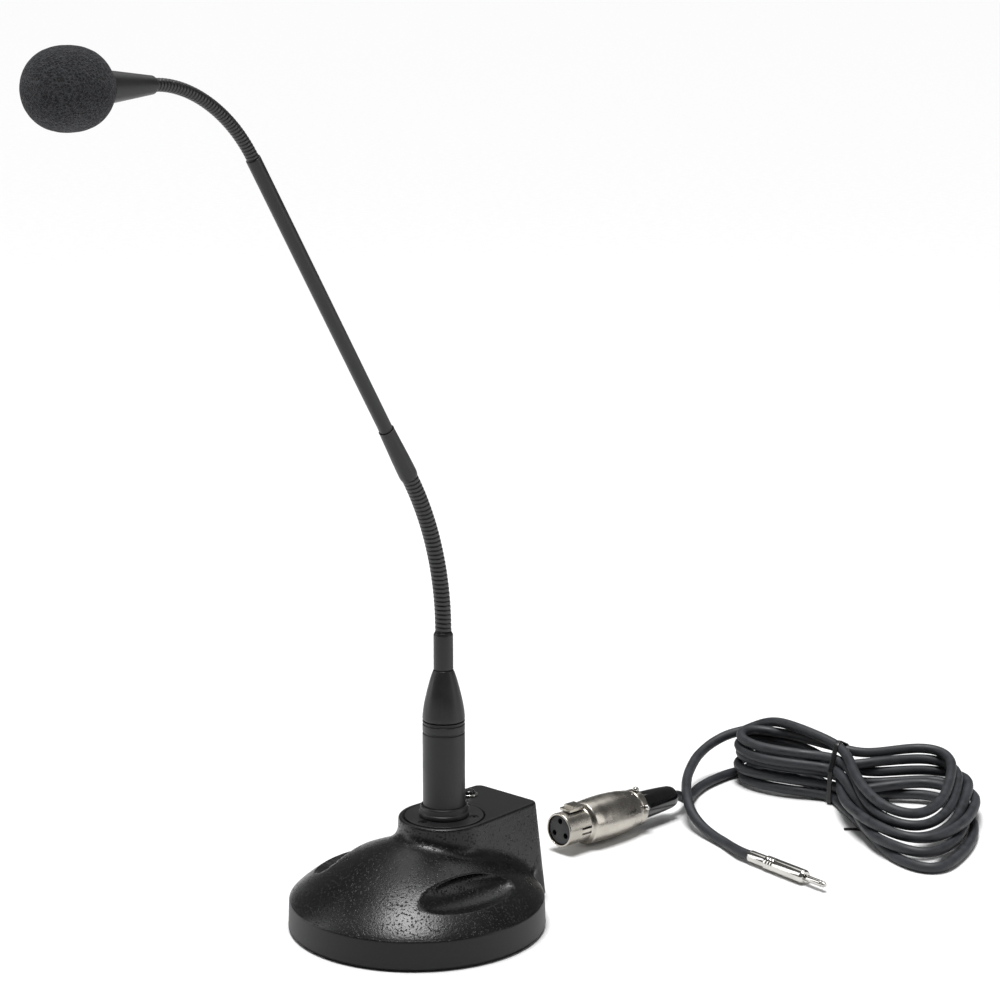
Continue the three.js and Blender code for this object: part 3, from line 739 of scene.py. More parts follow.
class Base:
    """Cast shell with its plate, collar, button and rear outlet."""

    def __init__(self, size: BaseSize, looks: Finishes) -> None:
        self.size = size
        self.looks = looks

    def dome_distance(self, p: np.ndarray) -> np.ndarray:
        """Signed distance to the domed foot: a skirt cylinder meeting a dome z = base + rise (1 - (r/rim)^1.7)^0.9.

        Args:
            p: Points, in millimetres.

        Returns:
            Distances, negative inside.
        """
        s = self.size
        r = np.hypot(p[..., 0], p[..., 1])
        rim = s.foot_radius - 1.2
        share = np.clip(r / rim, 0.0, 1.0)
        rise = s.dome_top - s.skirt_top
        top = s.skirt_top + 0.4 + rise * np.maximum(1.0 - share**1.7, 0.0) ** 0.9
        slope = 1.0 / np.sqrt(1.0 + (rise * 1.55 * share**0.7 / rim) ** 2)
        crease = s.skirt_top + 0.4 - (r - rim) * 0.33
        roof = np.where(r < rim, (p[..., 2] - top) * slope, (p[..., 2] - crease) * 0.95)
        side = r - (s.foot_radius - 0.6 * np.clip(p[..., 2] / s.skirt_top, 0.0, 1.0))
        return smooth_max(roof, side, 0.8)

    def scoop_distance(self, p: np.ndarray) -> np.ndarray:
        """Rough signed distance to the two long finger scoops, mirrored about the middle plane.

        Args:
            p: Points, in millimetres.

        Returns:
            Distances, negative inside.
        """
        s = self.size
        q = np.stack([np.abs(p[..., 0]), p[..., 1], p[..., 2]], axis=-1) - np.array(s.scoop_centre)
        yaw, tilt = np.radians(-s.scoop_yaw), np.radians(-s.scoop_tilt)
        x = q[..., 0] * np.cos(yaw) - q[..., 1] * np.sin(yaw)
        y = q[..., 0] * np.sin(yaw) + q[..., 1] * np.cos(yaw)
        z = q[..., 2] * np.cos(tilt) - x * np.sin(tilt)
        x = x * np.cos(tilt) + q[..., 2] * np.sin(tilt)
        a, b, c = s.scoop_half
        reach = np.sqrt((x / a) ** 2 + (y / b) ** 2 + (z / c) ** 2)
        steep = np.sqrt((x / a**2) ** 2 + (y / b**2) ** 2 + (z / c**2) ** 2)
        return reach * (reach - 1.0) / np.maximum(steep, 1e-6)

    def tower_distance(self, p: np.ndarray) -> np.ndarray:
        """Signed distance to the turret and rear box: a circle joined by tangents to two rounded corners.

        Args:
            p: Points, in millimetres.

        Returns:
            Distances, negative inside.
        """
        s = self.size
        grow = 1.0 + s.draft * (DECK - p[..., 2]) / DECK
        x, y = np.abs(p[..., 0]) / grow, (p[..., 1] - TURRET_Y) / grow
        cx, cy = s.corner_x, s.corner_y - TURRET_Y
        turn = np.arctan2(cy, cx) - np.arccos((s.turret_radius - s.corner) / np.hypot(cx, cy))
        nx, ny = np.cos(turn), np.sin(turn)
        run = -x * ny + y * nx
        full = -cx * ny + cy * nx
        front = np.hypot(x, y) - s.turret_radius
        side = x * nx + y * ny - s.turret_radius
        corner = np.hypot(x - cx, y - cy) - s.corner
        rear = y - (cy + s.corner)
        back = np.where(x < cx, rear, corner)
        wall = np.where(run < 0.0, front, np.where(run < full, side, back)) * grow
        wall = np.where((x < cx) & (y > cy), np.maximum(rear, -20.0) * grow, wall)
        return smooth_max(wall, p[..., 2] - DECK, s.deck_edge)

    def distance(self, p: np.ndarray) -> np.ndarray:
        """Signed distance to the whole outside: scooped dome, filleted into the tower, less the plate's recess.

        Args:
            p: Points, in millimetres.

        Returns:
            Distances, negative inside.
        """
        s = self.size
        dome = smooth_max(self.dome_distance(p), -self.scoop_distance(p), 0.7)
        body = -smooth_max(-dome, -self.tower_distance(p), s.fillet)
        ring = np.hypot(p[..., 0], p[..., 1] - TURRET_Y) - s.recess_radius
        recess = np.maximum(ring, s.recess_floor - p[..., 2])
        return np.maximum(body, -recess)

    def march(self, yaw: np.ndarray, pitch: np.ndarray) -> np.ndarray:
        """Points where rays from inside the base leave it: long steps, then halving between the last two.

        Args:
            yaw: Turns of the rays about +Z.
            pitch: Their rises, of the same shape.

        Returns:
            Points on the outside.
        """
        start = np.array([0.0, 30.0, 8.0])
        flat = np.cos(pitch)
        ray = np.stack([flat * np.cos(yaw), flat * np.sin(yaw), np.sin(pitch)], axis=-1)
        near = np.full(yaw.shape, 5.0)
        for _ in range(70):
            near = near + np.clip(-self.distance(start + ray * near[..., None]), 0.0, 6.0) * 0.7
        far = near + 0.4
        for _ in range(14):
            middle = (near + far) / 2.0
            inside = self.distance(start + ray * middle[..., None]) < 0.0
            near, far = np.where(inside, middle, near), np.where(inside, far, middle)
        return start + ray * near[..., None]

    def shell(self) -> bpy.types.Object:
        """Skin of rays over yaw and pitch, the pitches spaced evenly along each yaw's outline."""
        rows, columns = 300, 300
        yaw = np.linspace(0.0, 2.0 * np.pi, columns, endpoint=False)
        yaw = yaw - 0.25 * np.sin(2.0 * yaw) * 0.6
        pitch = np.linspace(-0.12, np.pi / 2.0 - 0.005, 500)
        first = self.march(*np.meshgrid(yaw, pitch))
        steps = np.linalg.norm(np.diff(first, axis=0), axis=-1) ** 0.75
        along = np.vstack([np.zeros(columns), np.cumsum(steps, axis=0)])
        marks = np.linspace(0.0, 1.0, rows)
        pitches = np.stack([np.interp(marks, line / line[-1], pitch) for line in along.T], axis=1)
        skin = self.march(np.broadcast_to(yaw, pitches.shape), pitches)
        skin[..., 2] = np.maximum(skin[..., 2], self.size.bottom)
        middle = skin[:-1]
        s = self.size
        rear = (middle[..., 1] > 60.0) & (np.hypot(middle[..., 0], middle[..., 2] - s.outlet_z) < s.outlet_radius)
        mouth = np.hypot(middle[..., 0], middle[..., 1] - TURRET_Y) < s.socket_radius
        return grid_object("cast_shell", skin, self.looks.cast, hidden=rear | mouth)

    def build(self) -> None:
        """Makes every piece of the base."""
        looks = self.looks
        turret = Spot.upright(0.0, TURRET_Y)
        finish_piece(self.shell(), "base", Slot.CAST, "base_shell")
        plate = lathe("turret_plate", softened(
            [(10.4, 52.3), (20.3, 52.3), (20.3, 53.6), (10.4, 53.6)], 0.2, closed=True), turret, looks.satin, 128)
        holes = [self.screw_spot(a) for a in (-90.0, 30.0, 150.0)]
        plate = cut(plate, [lathe("bore", np.array([(0.001, 50.0), (2.35, 50.0), (2.35, 56.0), (0.001, 56.0)]),
                                  spot, looks.satin, 32) for spot in holes])
        finish_piece(plate, "base", Slot.SATIN, "socket_plate")
        for i, spot in enumerate(holes, 1):
            head = lathe(f"turret_screw_{i}", softened(
                [(0.001, 46.0), (1.0, 46.0), (1.0, 52.3), (2.1, 52.3), (2.1, 53.5), (0.001, 53.6)], 0.25),
                spot, looks.screw, 40)
            key = lathe(
                "key", np.array([(0.001, 52.8), (0.95, 52.8), (0.95, 55.0), (0.001, 55.0)]), spot, looks.screw, 6)
            finish_piece(cut(head, [key]), "base", Slot.SCREW, f"socket_screw_{i}")
        collar = lathe("socket_ring", softened([
            (9.8, 53.9), (12.9, 53.9), (12.9, 55.9), (12.3, 56.3), (12.3, 58.8), (11.7, 59.6), (11.25, 59.6),
            (11.25, 57.2), (9.8, 57.2)], 0.3, closed=True), turret, looks.satin, 128)
        finish_piece(collar, "base", Slot.GLOSS, "socket_collar")
        button = Spot.upright(-11.8, 51.6)
        bezel = lathe("button_ring", softened([
            (3.3, 50.0), (3.7, 50.0), (3.7, 53.8), (4.4, 53.8), (4.4, 54.3), (4.0, 54.8), (3.3, 54.8)],
            0.2, closed=True), button, looks.chrome)
        finish_piece(bezel, "base", Slot.CHROME, "button_bezel")
        cap = lathe("button_cap", softened([(0.001, 49.0), (2.9, 49.0), (2.9, 56.0), (2.3, 56.5), (0.001, 56.7)], 0.4),
                    button, looks.gloss)
        finish_piece(cap, "button", Slot.GLOSS, "push_button")

    @staticmethod
    def screw_spot(degrees: float) -> Spot:
        """Place of one plate screw."""
        a = np.radians(degrees)
        return Spot.upright(15.8 * np.cos(a), TURRET_Y + 15.8 * np.sin(a))


# ------------------------------------------------------------------ microphone


@dataclass
class NeckSize:
    """Lengths, radii and bends of the neck, in millimetres and degrees."""

    start: float = 151.3
    lower: float = 87.0
    stem: float = 192.1
    upper: float = 69.8
    lean: float = 31.4
    turn: float = 50.2
    hook: float = 7.8
    lower_radius: float = 4.2
    upper_radius: float = 3.05
    lower_pitch: float = 2.36
    upper_pitch: float = 1.85
    lower_hinges: int = 6
    upper_hinges: int = 4


class Neck:
    """The neck's centreline and the two goosenecks on it."""

    def __init__(self, size: NeckSize, looks: Finishes) -> None:
        self.size = size
        self.looks = looks
        self.s = np.linspace(0.0, self.end() + 60.0, 9000)
        step = self.s[1] - self.s[0]
        lean = self.lean(self.s[:-1] + step / 2.0)
        self.y = TURRET_Y - np.concatenate([[0.0], np.cumsum(np.sin(lean) * step)])
        self.z = size.start + np.concatenate([[0.0], np.cumsum(np.cos(lean) * step)])

    def end(self) -> float:
        """Length of the neck."""
        return self.size.lower + self.size.stem + self.size.upper

    def lean(self, s: np.ndarray) -> np.ndarray:
        """Lean from upright: grows evenly over the lower gooseneck, stays, then grows with a late hook.

        Args:
            s: Distances along the neck.

        Returns:
            Leans, in radians.
        """
        n = self.size
        low = np.clip(s / n.lower, 0.0, 1.0) * n.lean
        t = np.clip((s - n.lower - n.stem) / n.upper, 0.0, 1.0)
        return np.radians(low + n.turn * t + n.hook * t**5)

    def centre(self, s: np.ndarray | float) -> np.ndarray:
        """Points of the centreline.

        Args:
            s: Distances along the neck.

        Returns:
            Points, in millimetres.
        """
        s = np.asarray(s, float)
        return np.stack([0.0 * s, np.interp(s, self.s, self.y), np.interp(s, self.s, self.z)], axis=-1)

    def spot(self, s: float) -> Spot:
        """Place on the centreline, with local +Z along it."""
        a = float(self.lean(np.array(s)))
        return Spot(self.centre(s), np.array([0.0, -np.sin(a), np.cos(a)]), np.array([1.0, 0.0, 0.0]))

    def winding(self, name: str, low: float, high: float, radius: float, pitch: float) -> bpy.types.Object:
        """Helical ridges: across one pitch the radius dips as the fourth power of the distance from the crest.

        Args:
            name: Name of the object.
            low: Where it starts along the neck.
            high: Where it ends.
            radius: Radius at a crest.
            pitch: Distance between crests.

        Returns:
            The new object, with its ridge height as an attribute.
        """
        rows, columns = int((high - low) / pitch * 12), 48
        s = np.linspace(low, high, rows)[:, None]
        angle = np.linspace(0.0, 2.0 * np.pi, columns, endpoint=False)[None, :]
        phase = (s / pitch + angle / (2.0 * np.pi)) % 1.0
        ridge = 1.0 - np.abs(2.0 * phase - 1.0) ** 4
        depth = RIDGE_DEPTH * pitch
        r = radius - depth * (1.0 - ridge)
        lean = self.lean(s)
        local = self.centre(s[:, 0])[:, None, :] + np.stack([
            r * np.cos(angle), r * np.sin(angle) * np.cos(lean), r * np.sin(angle) * np.sin(lean)], axis=-1)
        made = grid_object(name, local, self.looks.ring)
        made.data.attributes.new("ridge", "FLOAT", "POINT").data.foreach_set("value", ridge.astype(np.float32).ravel())
        return made

    def knuckle(self, name: str, s: float, radius: float) -> bpy.types.Object:
        """Ball under the ridges at a front-to-back hinge, which shows only where the windings part.

        Args:
            name: Name of the object.
            s: Where the hinge is along the neck.
            radius: Radius of the ball.

        Returns:
            The new object.
        """
        lean = float(self.lean(np.array(s)))
        rise = np.linspace(-1.5, 1.5, 17)[:, None, None]
        angle = np.linspace(0.0, 2.0 * np.pi, 32, endpoint=False)[None, :, None]
        along = np.array([0.0, -np.sin(lean), np.cos(lean)])
        out = np.cos(angle) * np.array([1.0, 0.0, 0.0]) + np.sin(angle) * np.array([0.0, np.cos(lean), np.sin(lean)])
        rows = self.centre(s) + radius * (np.sin(rise) * along + np.cos(rise) * out)
        # With no ridge attribute the ball takes the wound finish's dark tone, the painted shade of the grooves.
        return grid_object(name, rows, self.looks.ring)

    def gooseneck(self, prefix: str, start: float, length: float, hinges: int, bodies: list[str]) -> None:
        """Windings centred on the hinges.

        At a sideways hinge the winding is one piece, on no body. At a front-to-back hinge it is cut
        in two halves over a ball, one half on each body.

        Args:
            prefix: "lower" or "upper".
            start: Where it starts along the neck.
            length: Its length.
            hinges: How many hinges it has.
            bodies: Bodies that the hinges join, in order.
        """
        n = self.size
        lower = prefix == "lower"
        radius, pitch = (n.lower_radius, n.lower_pitch) if lower else (n.upper_radius, n.upper_pitch)
        gap = length / hinges
        for i in range(hinges):
            hinge = start + (i + 0.5) * gap
            low = hinge - gap / 2.0 - (NECK_OVERLAP if i == 0 else 0.0)
            high = hinge + gap / 2.0 + (NECK_OVERLAP if i == hinges - 1 else 0.0)
            link = f"{prefix}_neck_link_{i + 1}"
            name = f"{prefix}_winding_{i + 1}"
            if i % 2:
                last = [f"{prefix}_neck_link_{hinges + 1}"] if i == hinges - 1 else []
                finish_piece(self.winding(f"{name}_a", low, hinge, radius, pitch), bodies[i], Slot.RING, link)
                finish_piece(self.winding(f"{name}_b", hinge, high, radius, pitch), bodies[i + 1], Slot.RING, *last)
                finish_piece(self.knuckle(f"{name}_core", hinge, radius - RIDGE_DEPTH * pitch), bodies[i], Slot.RING)
                continue
            piece = self.winding(name, low, high, radius, pitch)
            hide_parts(link)
            reach = gap * BEND_REACH
            tuple(self.centre(hinge - reach) * MM)
            tuple(self.centre(hinge + reach) * MM)
            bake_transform(piece)

    def build(self) -> None:
        """Makes both goosenecks."""
        n = self.size
        lower = ["microphone", *[f"lower_link_{i}" for i in range(2, n.lower_hinges + 1)], "stem"]
        upper = ["stem", *[f"upper_link_{i}" for i in range(2, n.upper_hinges + 1)], "head"]
        self.gooseneck("lower", 0.0, n.lower, n.lower_hinges, lower)
        self.gooseneck("upper", n.lower + n.stem, n.upper, n.upper_hinges, upper)


class Microphone:
    """Plug, ferrule, coupling, tube and capsule housing: turned pieces on the neck's line."""

    def __init__(self, neck: Neck, looks: Finishes) -> None:
        self.neck = neck
        self.looks = looks

    def turned(self, name: str, profile: list[tuple[float, float]], spot: Spot, body: str, radius: float = 0.3) -> None:
        """One satin turned piece that stands for the node of its own name.

        Args:
            name: Name of the node.
            profile: Points (radius, height) in millimetres.
            spot: Place and axis.
            body: Body that it rides on.
            radius: Radius that softens its corners.
        """
        piece = lathe(name + "_skin", softened(profile, radius, closed=True), spot, self.looks.satin, 96)
        finish_piece(piece, body, Slot.SATIN, name)

    def build(self) -> None:
        """Makes every turned piece of the microphone."""
        turret = Spot.upright(0.0, TURRET_Y)
        groove = [(10.9, 97.9), (10.45, 98.2), (10.45, 98.7), (10.9, 99.0), (10.9, 102.6), (10.4, 102.9), (10.4, 103.5),
                  (10.9, 103.8)]
        self.turned("plug_sleeve", [(8.0, 36.0), (9.4, 36.0), (9.4, 57.6), (10.9, 57.6), *groove, (10.9, 104.5),
                                    (8.0, 104.5)], turret, "microphone", 0.2)
        self.turned("plug_nose", [
            (2.2, 104.8), (10.9, 104.8), (10.9, 107.0), (10.55, 110.0), (10.0, 113.5), (9.2, 117.3), (8.25, 121.2),
            (7.15, 125.4), (6.1, 128.8), (5.2, 131.0), (4.9, 131.2), (2.2, 131.2)], turret, "microphone", 1.6)
        self.turned("neck_ferrule", [(2.2, 131.5), (5.05, 131.5), (5.05, 149.6), (4.3, 151.0), (2.2, 151.0)],
                    turret, "microphone", 0.4)
        stem = self.neck.spot(self.neck.size.lower + 0.01)
        self.turned("stem_coupling", [
            (2.0, 0.0), (3.6, 0.0), (4.5, 1.2), (4.7, 3.0), (4.55, 12.0), (4.15, 24.0), (3.95, 30.7), (4.05, 31.2),
            (3.85, 31.2), (3.85, 25.0), (2.0, 25.0)], stem, "stem")
        self.turned("stem_tube", [(2.6, 25.3), (3.52, 25.3), (3.52, 192.1), (2.6, 192.1)], stem, "stem", 0.35)
        head = self.neck.spot(self.neck.end())
        self.turned("capsule_housing", [
            (2.0, 0.3), (3.3, 0.3), (4.15, 1.5), (7.05, 24.5), (7.5, 28.0), (7.6, 30.0), (7.6, 38.6), (6.6, 38.6),
            (6.6, 27.0), (2.0, 24.0)], head, "head", 0.5)


@dataclass
class FoamSize:
    """Sizes of the foam ball, in millimetres along the head's axis."""

    centre: float = 47.8
    half_length: float = 20.0
    radius: float = 18.4
    hole: float = 7.7
    power: float = 2.3


class Windscreen:
    """Foam ball over the capsule."""

    def __init__(self, size: FoamSize, neck: Neck, looks: Finishes) -> None:
        self.size = size
        self.neck = neck
        self.looks = looks

    def build(self) -> None:
        """Rounded ball r = R (1 - |x|^p)^(1/p) with a lip at the neck and low random swells, seeded."""
        s = self.size
        t = np.linspace(0.0, np.pi, 150)
        x = -np.cos(t)
        r = s.radius * (1.0 - np.abs(x) ** s.power) ** (1.0 / s.power)
        z = s.centre + s.half_length * x
        body = np.stack([r, z], axis=1)[(r > s.hole + 1.3) | (x > 0.0)]
        lip = softened([(s.hole, 33.0), (s.hole, 28.6), (s.hole + 1.0, 28.0), tuple(body[0])], 1.0)[:-1]
        profile = np.vstack([lip, body])
        profile[:, 0] = np.maximum(profile[:, 0], 0.001)
        rng = np.random.default_rng(4)
        angle = np.linspace(0.0, 2.0 * np.pi, 180, endpoint=False)
        swell = np.zeros((len(profile), len(angle)))
        for _ in range(60):
            k, m, a, b = rng.integers(1, 26), rng.uniform(0.1, 1.3), *rng.uniform(0.0, 6.28, 2)
            swell += np.cos(k * angle + a) * np.cos(m * profile[:, 1:] + b) / 60.0**0.5
        fade = np.clip(profile[:, :1] / s.radius * 2.0 - 0.4, 0.0, 1.0)
        radius = profile[:, :1] + 0.05 * swell * fade
        local = np.stack([radius * np.cos(angle), radius * np.sin(angle),
                          np.broadcast_to(profile[:, 1:], radius.shape)], axis=-1)
        spot = self.neck.spot(self.neck.end())
        ball = grid_object("foam_ball", spot.put(local), self.looks.foam)
        finish_piece(ball, "foam", Slot.FOAM, "windscreen")


# ------------------------------------------------------------------ cable


XLR_NOSE = (-15.4, 127.3, 13.6)
XLR_END = (-9.6, 219.1, 12.0)
JACK_START = (71.8, 187.0, 4.1)
JACK_DIRECTION = (0.987, -0.16, 0.0)
LEAD_IN = [
    (-9.57, 219.6, 12.0), (-9.5, 223.6, 11.2), (-10.5, 229.4, 8.4), (-12.9, 236.2, 5.2), (-16.2, 244.0, 3.5),
    (-20.5, 253.0, 3.1), (-24.4, 265.0, 3.1), (-26.6, 278.0, 3.1), (-27.0, 290.0, 3.1),
]
LEAD_OUT = [
    (-22.6, 317.6, 27.6), (-28.6, 311.6, 26.0), (-34.4, 303.0, 24.0), (-37.2, 291.5, 21.0), (-35.0, 276.0, 18.0),
    (-25.1, 255.0, 16.0), (-11.7, 234.8, 15.3), (2.6, 218.0, 13.2), (13.4, 209.4, 8.8), (24.4, 204.4, 5.3),
    (35.4, 200.6, 3.5), (46.5, 196.6, 3.1), (56.0, 192.0, 3.5), (65.0, 188.1, 4.1), (71.45, 187.06, 4.1),
]


@dataclass
class HankSize:
    """The tied hank: where the tie is and how far each kind of turn reaches, in millimetres.

    Turn outlines are lists of (across, near, height) from the tie, with across to the right and
    near towards the front right of the table.
    """

    diameter: float = 5.8
    tie: tuple[float, float] = (42.0, 312.0)
    across: tuple[float, float] = (0.737, 0.677)
    near: tuple[float, float] = (0.677, -0.737)
    step: float = 3.0
    low_turn: tuple = (
        (15, 6, 4), (34, 9, 6.5), (54, 13, 7), (67, 33, 5), (65, 70, 3.1), (51, 107, 3.1), (33, 131, 3.1),
        (15, 112, 3.1),
        (5, 66, 3.1), (0, 28, 3.1),
    )
    mid_turn: tuple = (
        (14, 5, 14), (38, 1, 16), (58, -3, 16), (71, 9, 13.5), (67, 42, 12), (50, 88, 10), (30, 104, 9), (13, 91, 10),
        (3, 58, 11), (0, 25, 12),
    )
    top_turn: tuple = (
        (11, 2, 21), (33, -4, 20), (52, -8, 19.5), (64, 2, 18), (60, 34, 17), (46, 73, 15), (29, 93, 14), (13, 86, 15),
        (3, 56, 18), (1, 22, 20.5),
    )
    tie_slots: tuple = (
        (-6, 3.1), (6, 3.1), (0, 3.1), (6, 9), (-6, 9), (0, 9), (-6, 15), (6, 15), (0, 15), (6.5, 20.5), (-3.3, 24),
        (2.8, 24),
    )
    left_heights: tuple = ((6, 8), (10, 12), (14, 16), (17, 20), (20, 26))
    shares: tuple = (0.0, 0.2, 0.4, 0.6, 0.8, 1.0)
    tie_tails: tuple = (
        ((88.0, 272.5, 0.6), (84.5, 271.0, 0.6), (81.7, 269.7, 0.6), (77.6, 265.9, 0.6)),
        ((57.9, 333.8, 0.6), (66.0, 325.0, 0.6), (73.0, 316.0, 0.6), (79.0, 307.0, 0.6)),
    )


class Cable:
    """The loose cable: three-pole plug, tied hank and jack."""

    def __init__(self, size: HankSize, looks: Finishes) -> None:
        self.size = size
        self.looks = looks

    def place(self, local: np.ndarray) -> np.ndarray:
        """Points (across, near, height) from the tie to the object's frame.

        Args:
            local: Points from the tie.

        Returns:
            Points, in millimetres.
        """
        s = self.size
        flat = np.array(s.tie) + local[:, :1] * np.array(s.across) + local[:, 1:2] * np.array(s.near)
        return np.hstack([flat, local[:, 2:]])

    def right_turn(self, share: float) -> np.ndarray:
        """Right-hand turn between the low, middle and top outlines, share from 0 to 1.

        Args:
            share: 0 for the low outline, 1 for the top one.

        Returns:
            Points from the tie.
        """
        s = self.size
        low, mid, top = (np.array(v, float) for v in (s.low_turn, s.mid_turn, s.top_turn))
        return low + (mid - low) * share * 2.0 if share < 0.5 else mid + (top - mid) * (share * 2.0 - 1.0)

    @staticmethod
    def left_turn(front: float, back: float) -> np.ndarray:
        """Left-hand turn that leaves the tie at the front at one height and comes back behind at another.

        Args:
            front: Height at the front.
            back: Height behind.

        Returns:
            Points from the tie.
        """
        middle = (front + back) / 2.0
        return np.array([
            (-18, 3, front), (-36, -3, front + 1), (-50, -13, front + 1), (-58, -26, middle), (-56, -38, middle + 1),
            (-45, -42, back), (-30, -36, back), (-14, -16, back),
        ], float)

    def control(self) -> np.ndarray:
        """Rough route of the whole hank: right turns and left turns that all pass through the tie."""
        s = self.size
        slots = [np.array([[-0.7 * near, 0.7 * near, height]]) for near, height in s.tie_slots]
        route = [np.array([(-56.0, -39.0, 3.1), (-44.0, -42.0, 3.1), (-22.0, -22.0, 3.1)])]
        for i, share in enumerate(s.shares):
            route += [slots[2 * i], self.right_turn(share), slots[2 * i + 1]]
            if i < len(s.left_heights):
                route.append(self.left_turn(*s.left_heights[i]))
        route.append(np.array([(-12.0, -8.0, 27.0), (-25.0, -22.0, 29.5), (-36.0, -37.0, 29.0)]))
        return self.place(np.vstack(route))

    def settle(self, line: np.ndarray, fixed: np.ndarray) -> np.ndarray:
        """Parts strands that touch: pairs closer than the cable push apart and each shift is spread along the cable.

        Args:
            line: Points along the cable.
            fixed: Which of them stay.

        Returns:
            The parted points.
        """
        s = self.size
        shift = np.zeros_like(line)
        free = ~fixed[:, None]
        first, second = np.triu_indices(len(line), 7)
        for step in range(300):
            p = line + shift
            if step % 15 == 0:
                close = np.linalg.norm(p[first] - p[second], axis=1) < s.diameter * 2.0
                i, j = first[close], second[close]
            d = p[j] - p[i]
            length = np.maximum(np.linalg.norm(d, axis=1, keepdims=True), 0.01)
            push = d / length * np.maximum(s.diameter + 0.3 - length, 0.0) * 0.3
            np.add.at(shift, i, -push)
            np.add.at(shift, j, push)
            shift[:, 2] = np.maximum(shift[:, 2], 3.05 - line[:, 2])
            shift *= free
            for _ in range(3):
                shift[1:-1] += 0.25 * (shift[:-2] + shift[2:] - 2.0 * shift[1:-1]) * free[1:-1]
        p = line + shift
        p[:, 2] = np.maximum(p[:, 2], 3.0)
        return p

    def route(self) -> np.ndarray:
        """The whole cable from plug to jack, in millimetres."""
        s = self.size
        lead_in, lead_out = np.array(LEAD_IN), np.array(LEAD_OUT)
        line = catmull(np.vstack([lead_in, self.control(), lead_out]), s.step)
        start = int(np.linalg.norm(line - lead_in[-2], axis=1).argmin())
        end = int(np.linalg.norm(line - lead_out[1], axis=1).argmin())
        fixed = np.ones(len(line), bool)
        fixed[start:end] = False
        free = ~fixed[1:-1, None]
        for passes in (8, 5, 4):
            for _ in range(passes):
                line[1:-1] += 0.25 * (line[:-2] + line[2:] - 2.0 * line[1:-1]) * free
            line = self.settle(line, fixed)
        return line

    def cord(self) -> bpy.types.Object:
        """The cable as one round curve."""
        line = self.route()
        curve = bpy.data.curves.new("cable_cord", "CURVE")
        curve.dimensions = "3D"
        curve.bevel_depth = self.size.diameter / 2.0 * MM
        curve.bevel_resolution = 4
        curve.use_fill_caps = True
        spline = curve.splines.new("POLY")
        spline.points.add(len(line) - 1)
        spline.points.foreach_set("co", np.hstack([line * MM, np.ones((len(line), 1))]).astype(np.float32).ravel())
        spline.use_smooth = True
        curve.materials.append(self.looks.cable)
        made = bpy.data.objects.new("cable_cord", curve)
        bpy.context.scene.collection.objects.link(made)
        finish_piece(made, "base", Slot.CABLE, "cable_lead_in", "cable_hank", "cable_lead_out")
        length = float(np.linalg.norm(np.diff(line, axis=0), axis=1).sum()) * MM
        log.info("cable length %.3f m", length)
        self.length = length
        self.line = line
        return made

    def plug(self) -> list[bpy.types.Object]:
        """Three-pole plug: slotted shell, latch, insert, clamp with screws, and boot."""
        looks = self.looks
        spot = Spot.lying(XLR_NOSE, np.array(XLR_END) - np.array(XLR_NOSE))
        shell = lathe("plug_body", softened([
            (8.4, 0.0), (9.1, 0.0), (9.5, 0.5), (9.5, 17.0), (12.0, 18.2), (12.5, 24.0), (12.75, 30.0), (12.8, 36.0),
            (12.55, 42.0), (12.1, 48.0), (11.1, 54.0), (10.8, 56.0), (8.4, 56.0)], 0.7, closed=True),
            spot, looks.nickel, 128)
        window = rounded_box("window", (-4.6, 8.1, 4.0), (4.6, 14.0, 16.0), spot, looks.nickel, 0.2)
        slots = [rounded_box("slot", (-14.0, y - 0.6, 9.0), (-8.0, y + 0.6, 16.5), spot, looks.nickel, 0.2)
                 for y in (0.9, -2.2)]
        shell = cut(shell, [window, *slots])
        pieces = [finish_piece(shell, "base", Slot.NICKEL, "cable_plug_shell")]
        insert = lathe(
            "plug_face", softened([(0.001, 1.0), (8.0, 1.0), (8.0, 22.0), (0.001, 22.0)], 0.3), spot, looks.insert)
        bores = []
        for a in np.radians((90.0, 210.0, 330.0)):
            local = Spot(spot.put(np.array([5.0 * np.cos(a), 5.0 * np.sin(a), 0.0])), spot.along, spot.side)
            bores.append(lathe(
                "bore", np.array([(0.001, -1.0), (1.65, -1.0), (1.65, 14.0), (0.001, 14.0)]), local, looks.insert, 32))
        pieces.append(finish_piece(cut(insert, bores), "base", Slot.INSULATOR, "cable_plug_insert"))
        clamp = lathe("plug_clamp_ring", softened([
            (7.9, 56.3), (10.3, 56.3), (10.6, 57.4), (10.6, 61.0), (9.8, 62.0), (7.9, 62.0)], 0.4, closed=True),
            spot, looks.nickel)
        pieces.append(finish_piece(clamp, "base", Slot.NICKEL, "cable_plug_clamp"))
        boot = lathe("plug_boot_skin", softened([
            (0.001, 62.3), (7.9, 62.3), (7.85, 68.0), (7.6, 74.0), (7.1, 82.0), (6.6, 88.0), (5.9, 90.8), (4.6, 92.0),
            (0.001, 92.0)], 1.0), spot, looks.gloss)
        pieces.append(finish_piece(boot, "base", Slot.GLOSS, "cable_plug_boot"))
        for i, degrees in enumerate((10.0, 75.0), 1):
            a = np.radians(degrees)
            out = -np.sin(a) * spot.side + np.cos(a) * np.cross(spot.along, spot.side)
            seat = Spot(spot.put(np.array([0.0, 0.0, 59.2])), out, spot.along)
            screw = lathe(f"clamp_bolt_{i}", softened([
                (0.001, 10.9), (1.7, 10.9), (1.75, 11.9), (1.2, 12.8), (0.001, 13.0)], 0.5), seat, looks.chrome, 40)
            pieces.append(finish_piece(screw, "base", Slot.SCREW, f"clamp_screw_{i}"))
        latch = rounded_box("latch_tab", (-4.2, 9.8, 4.4), (4.2, 12.6, 15.6), spot, looks.nickel, 0.5)
        step = rounded_box("step", (-6.0, 11.2, 2.0), (6.0, 15.0, 8.0), spot, looks.nickel, 0.3)
        finish_piece(cut(latch, [step]), "latch", Slot.NICKEL, "cable_plug_latch")
        return pieces

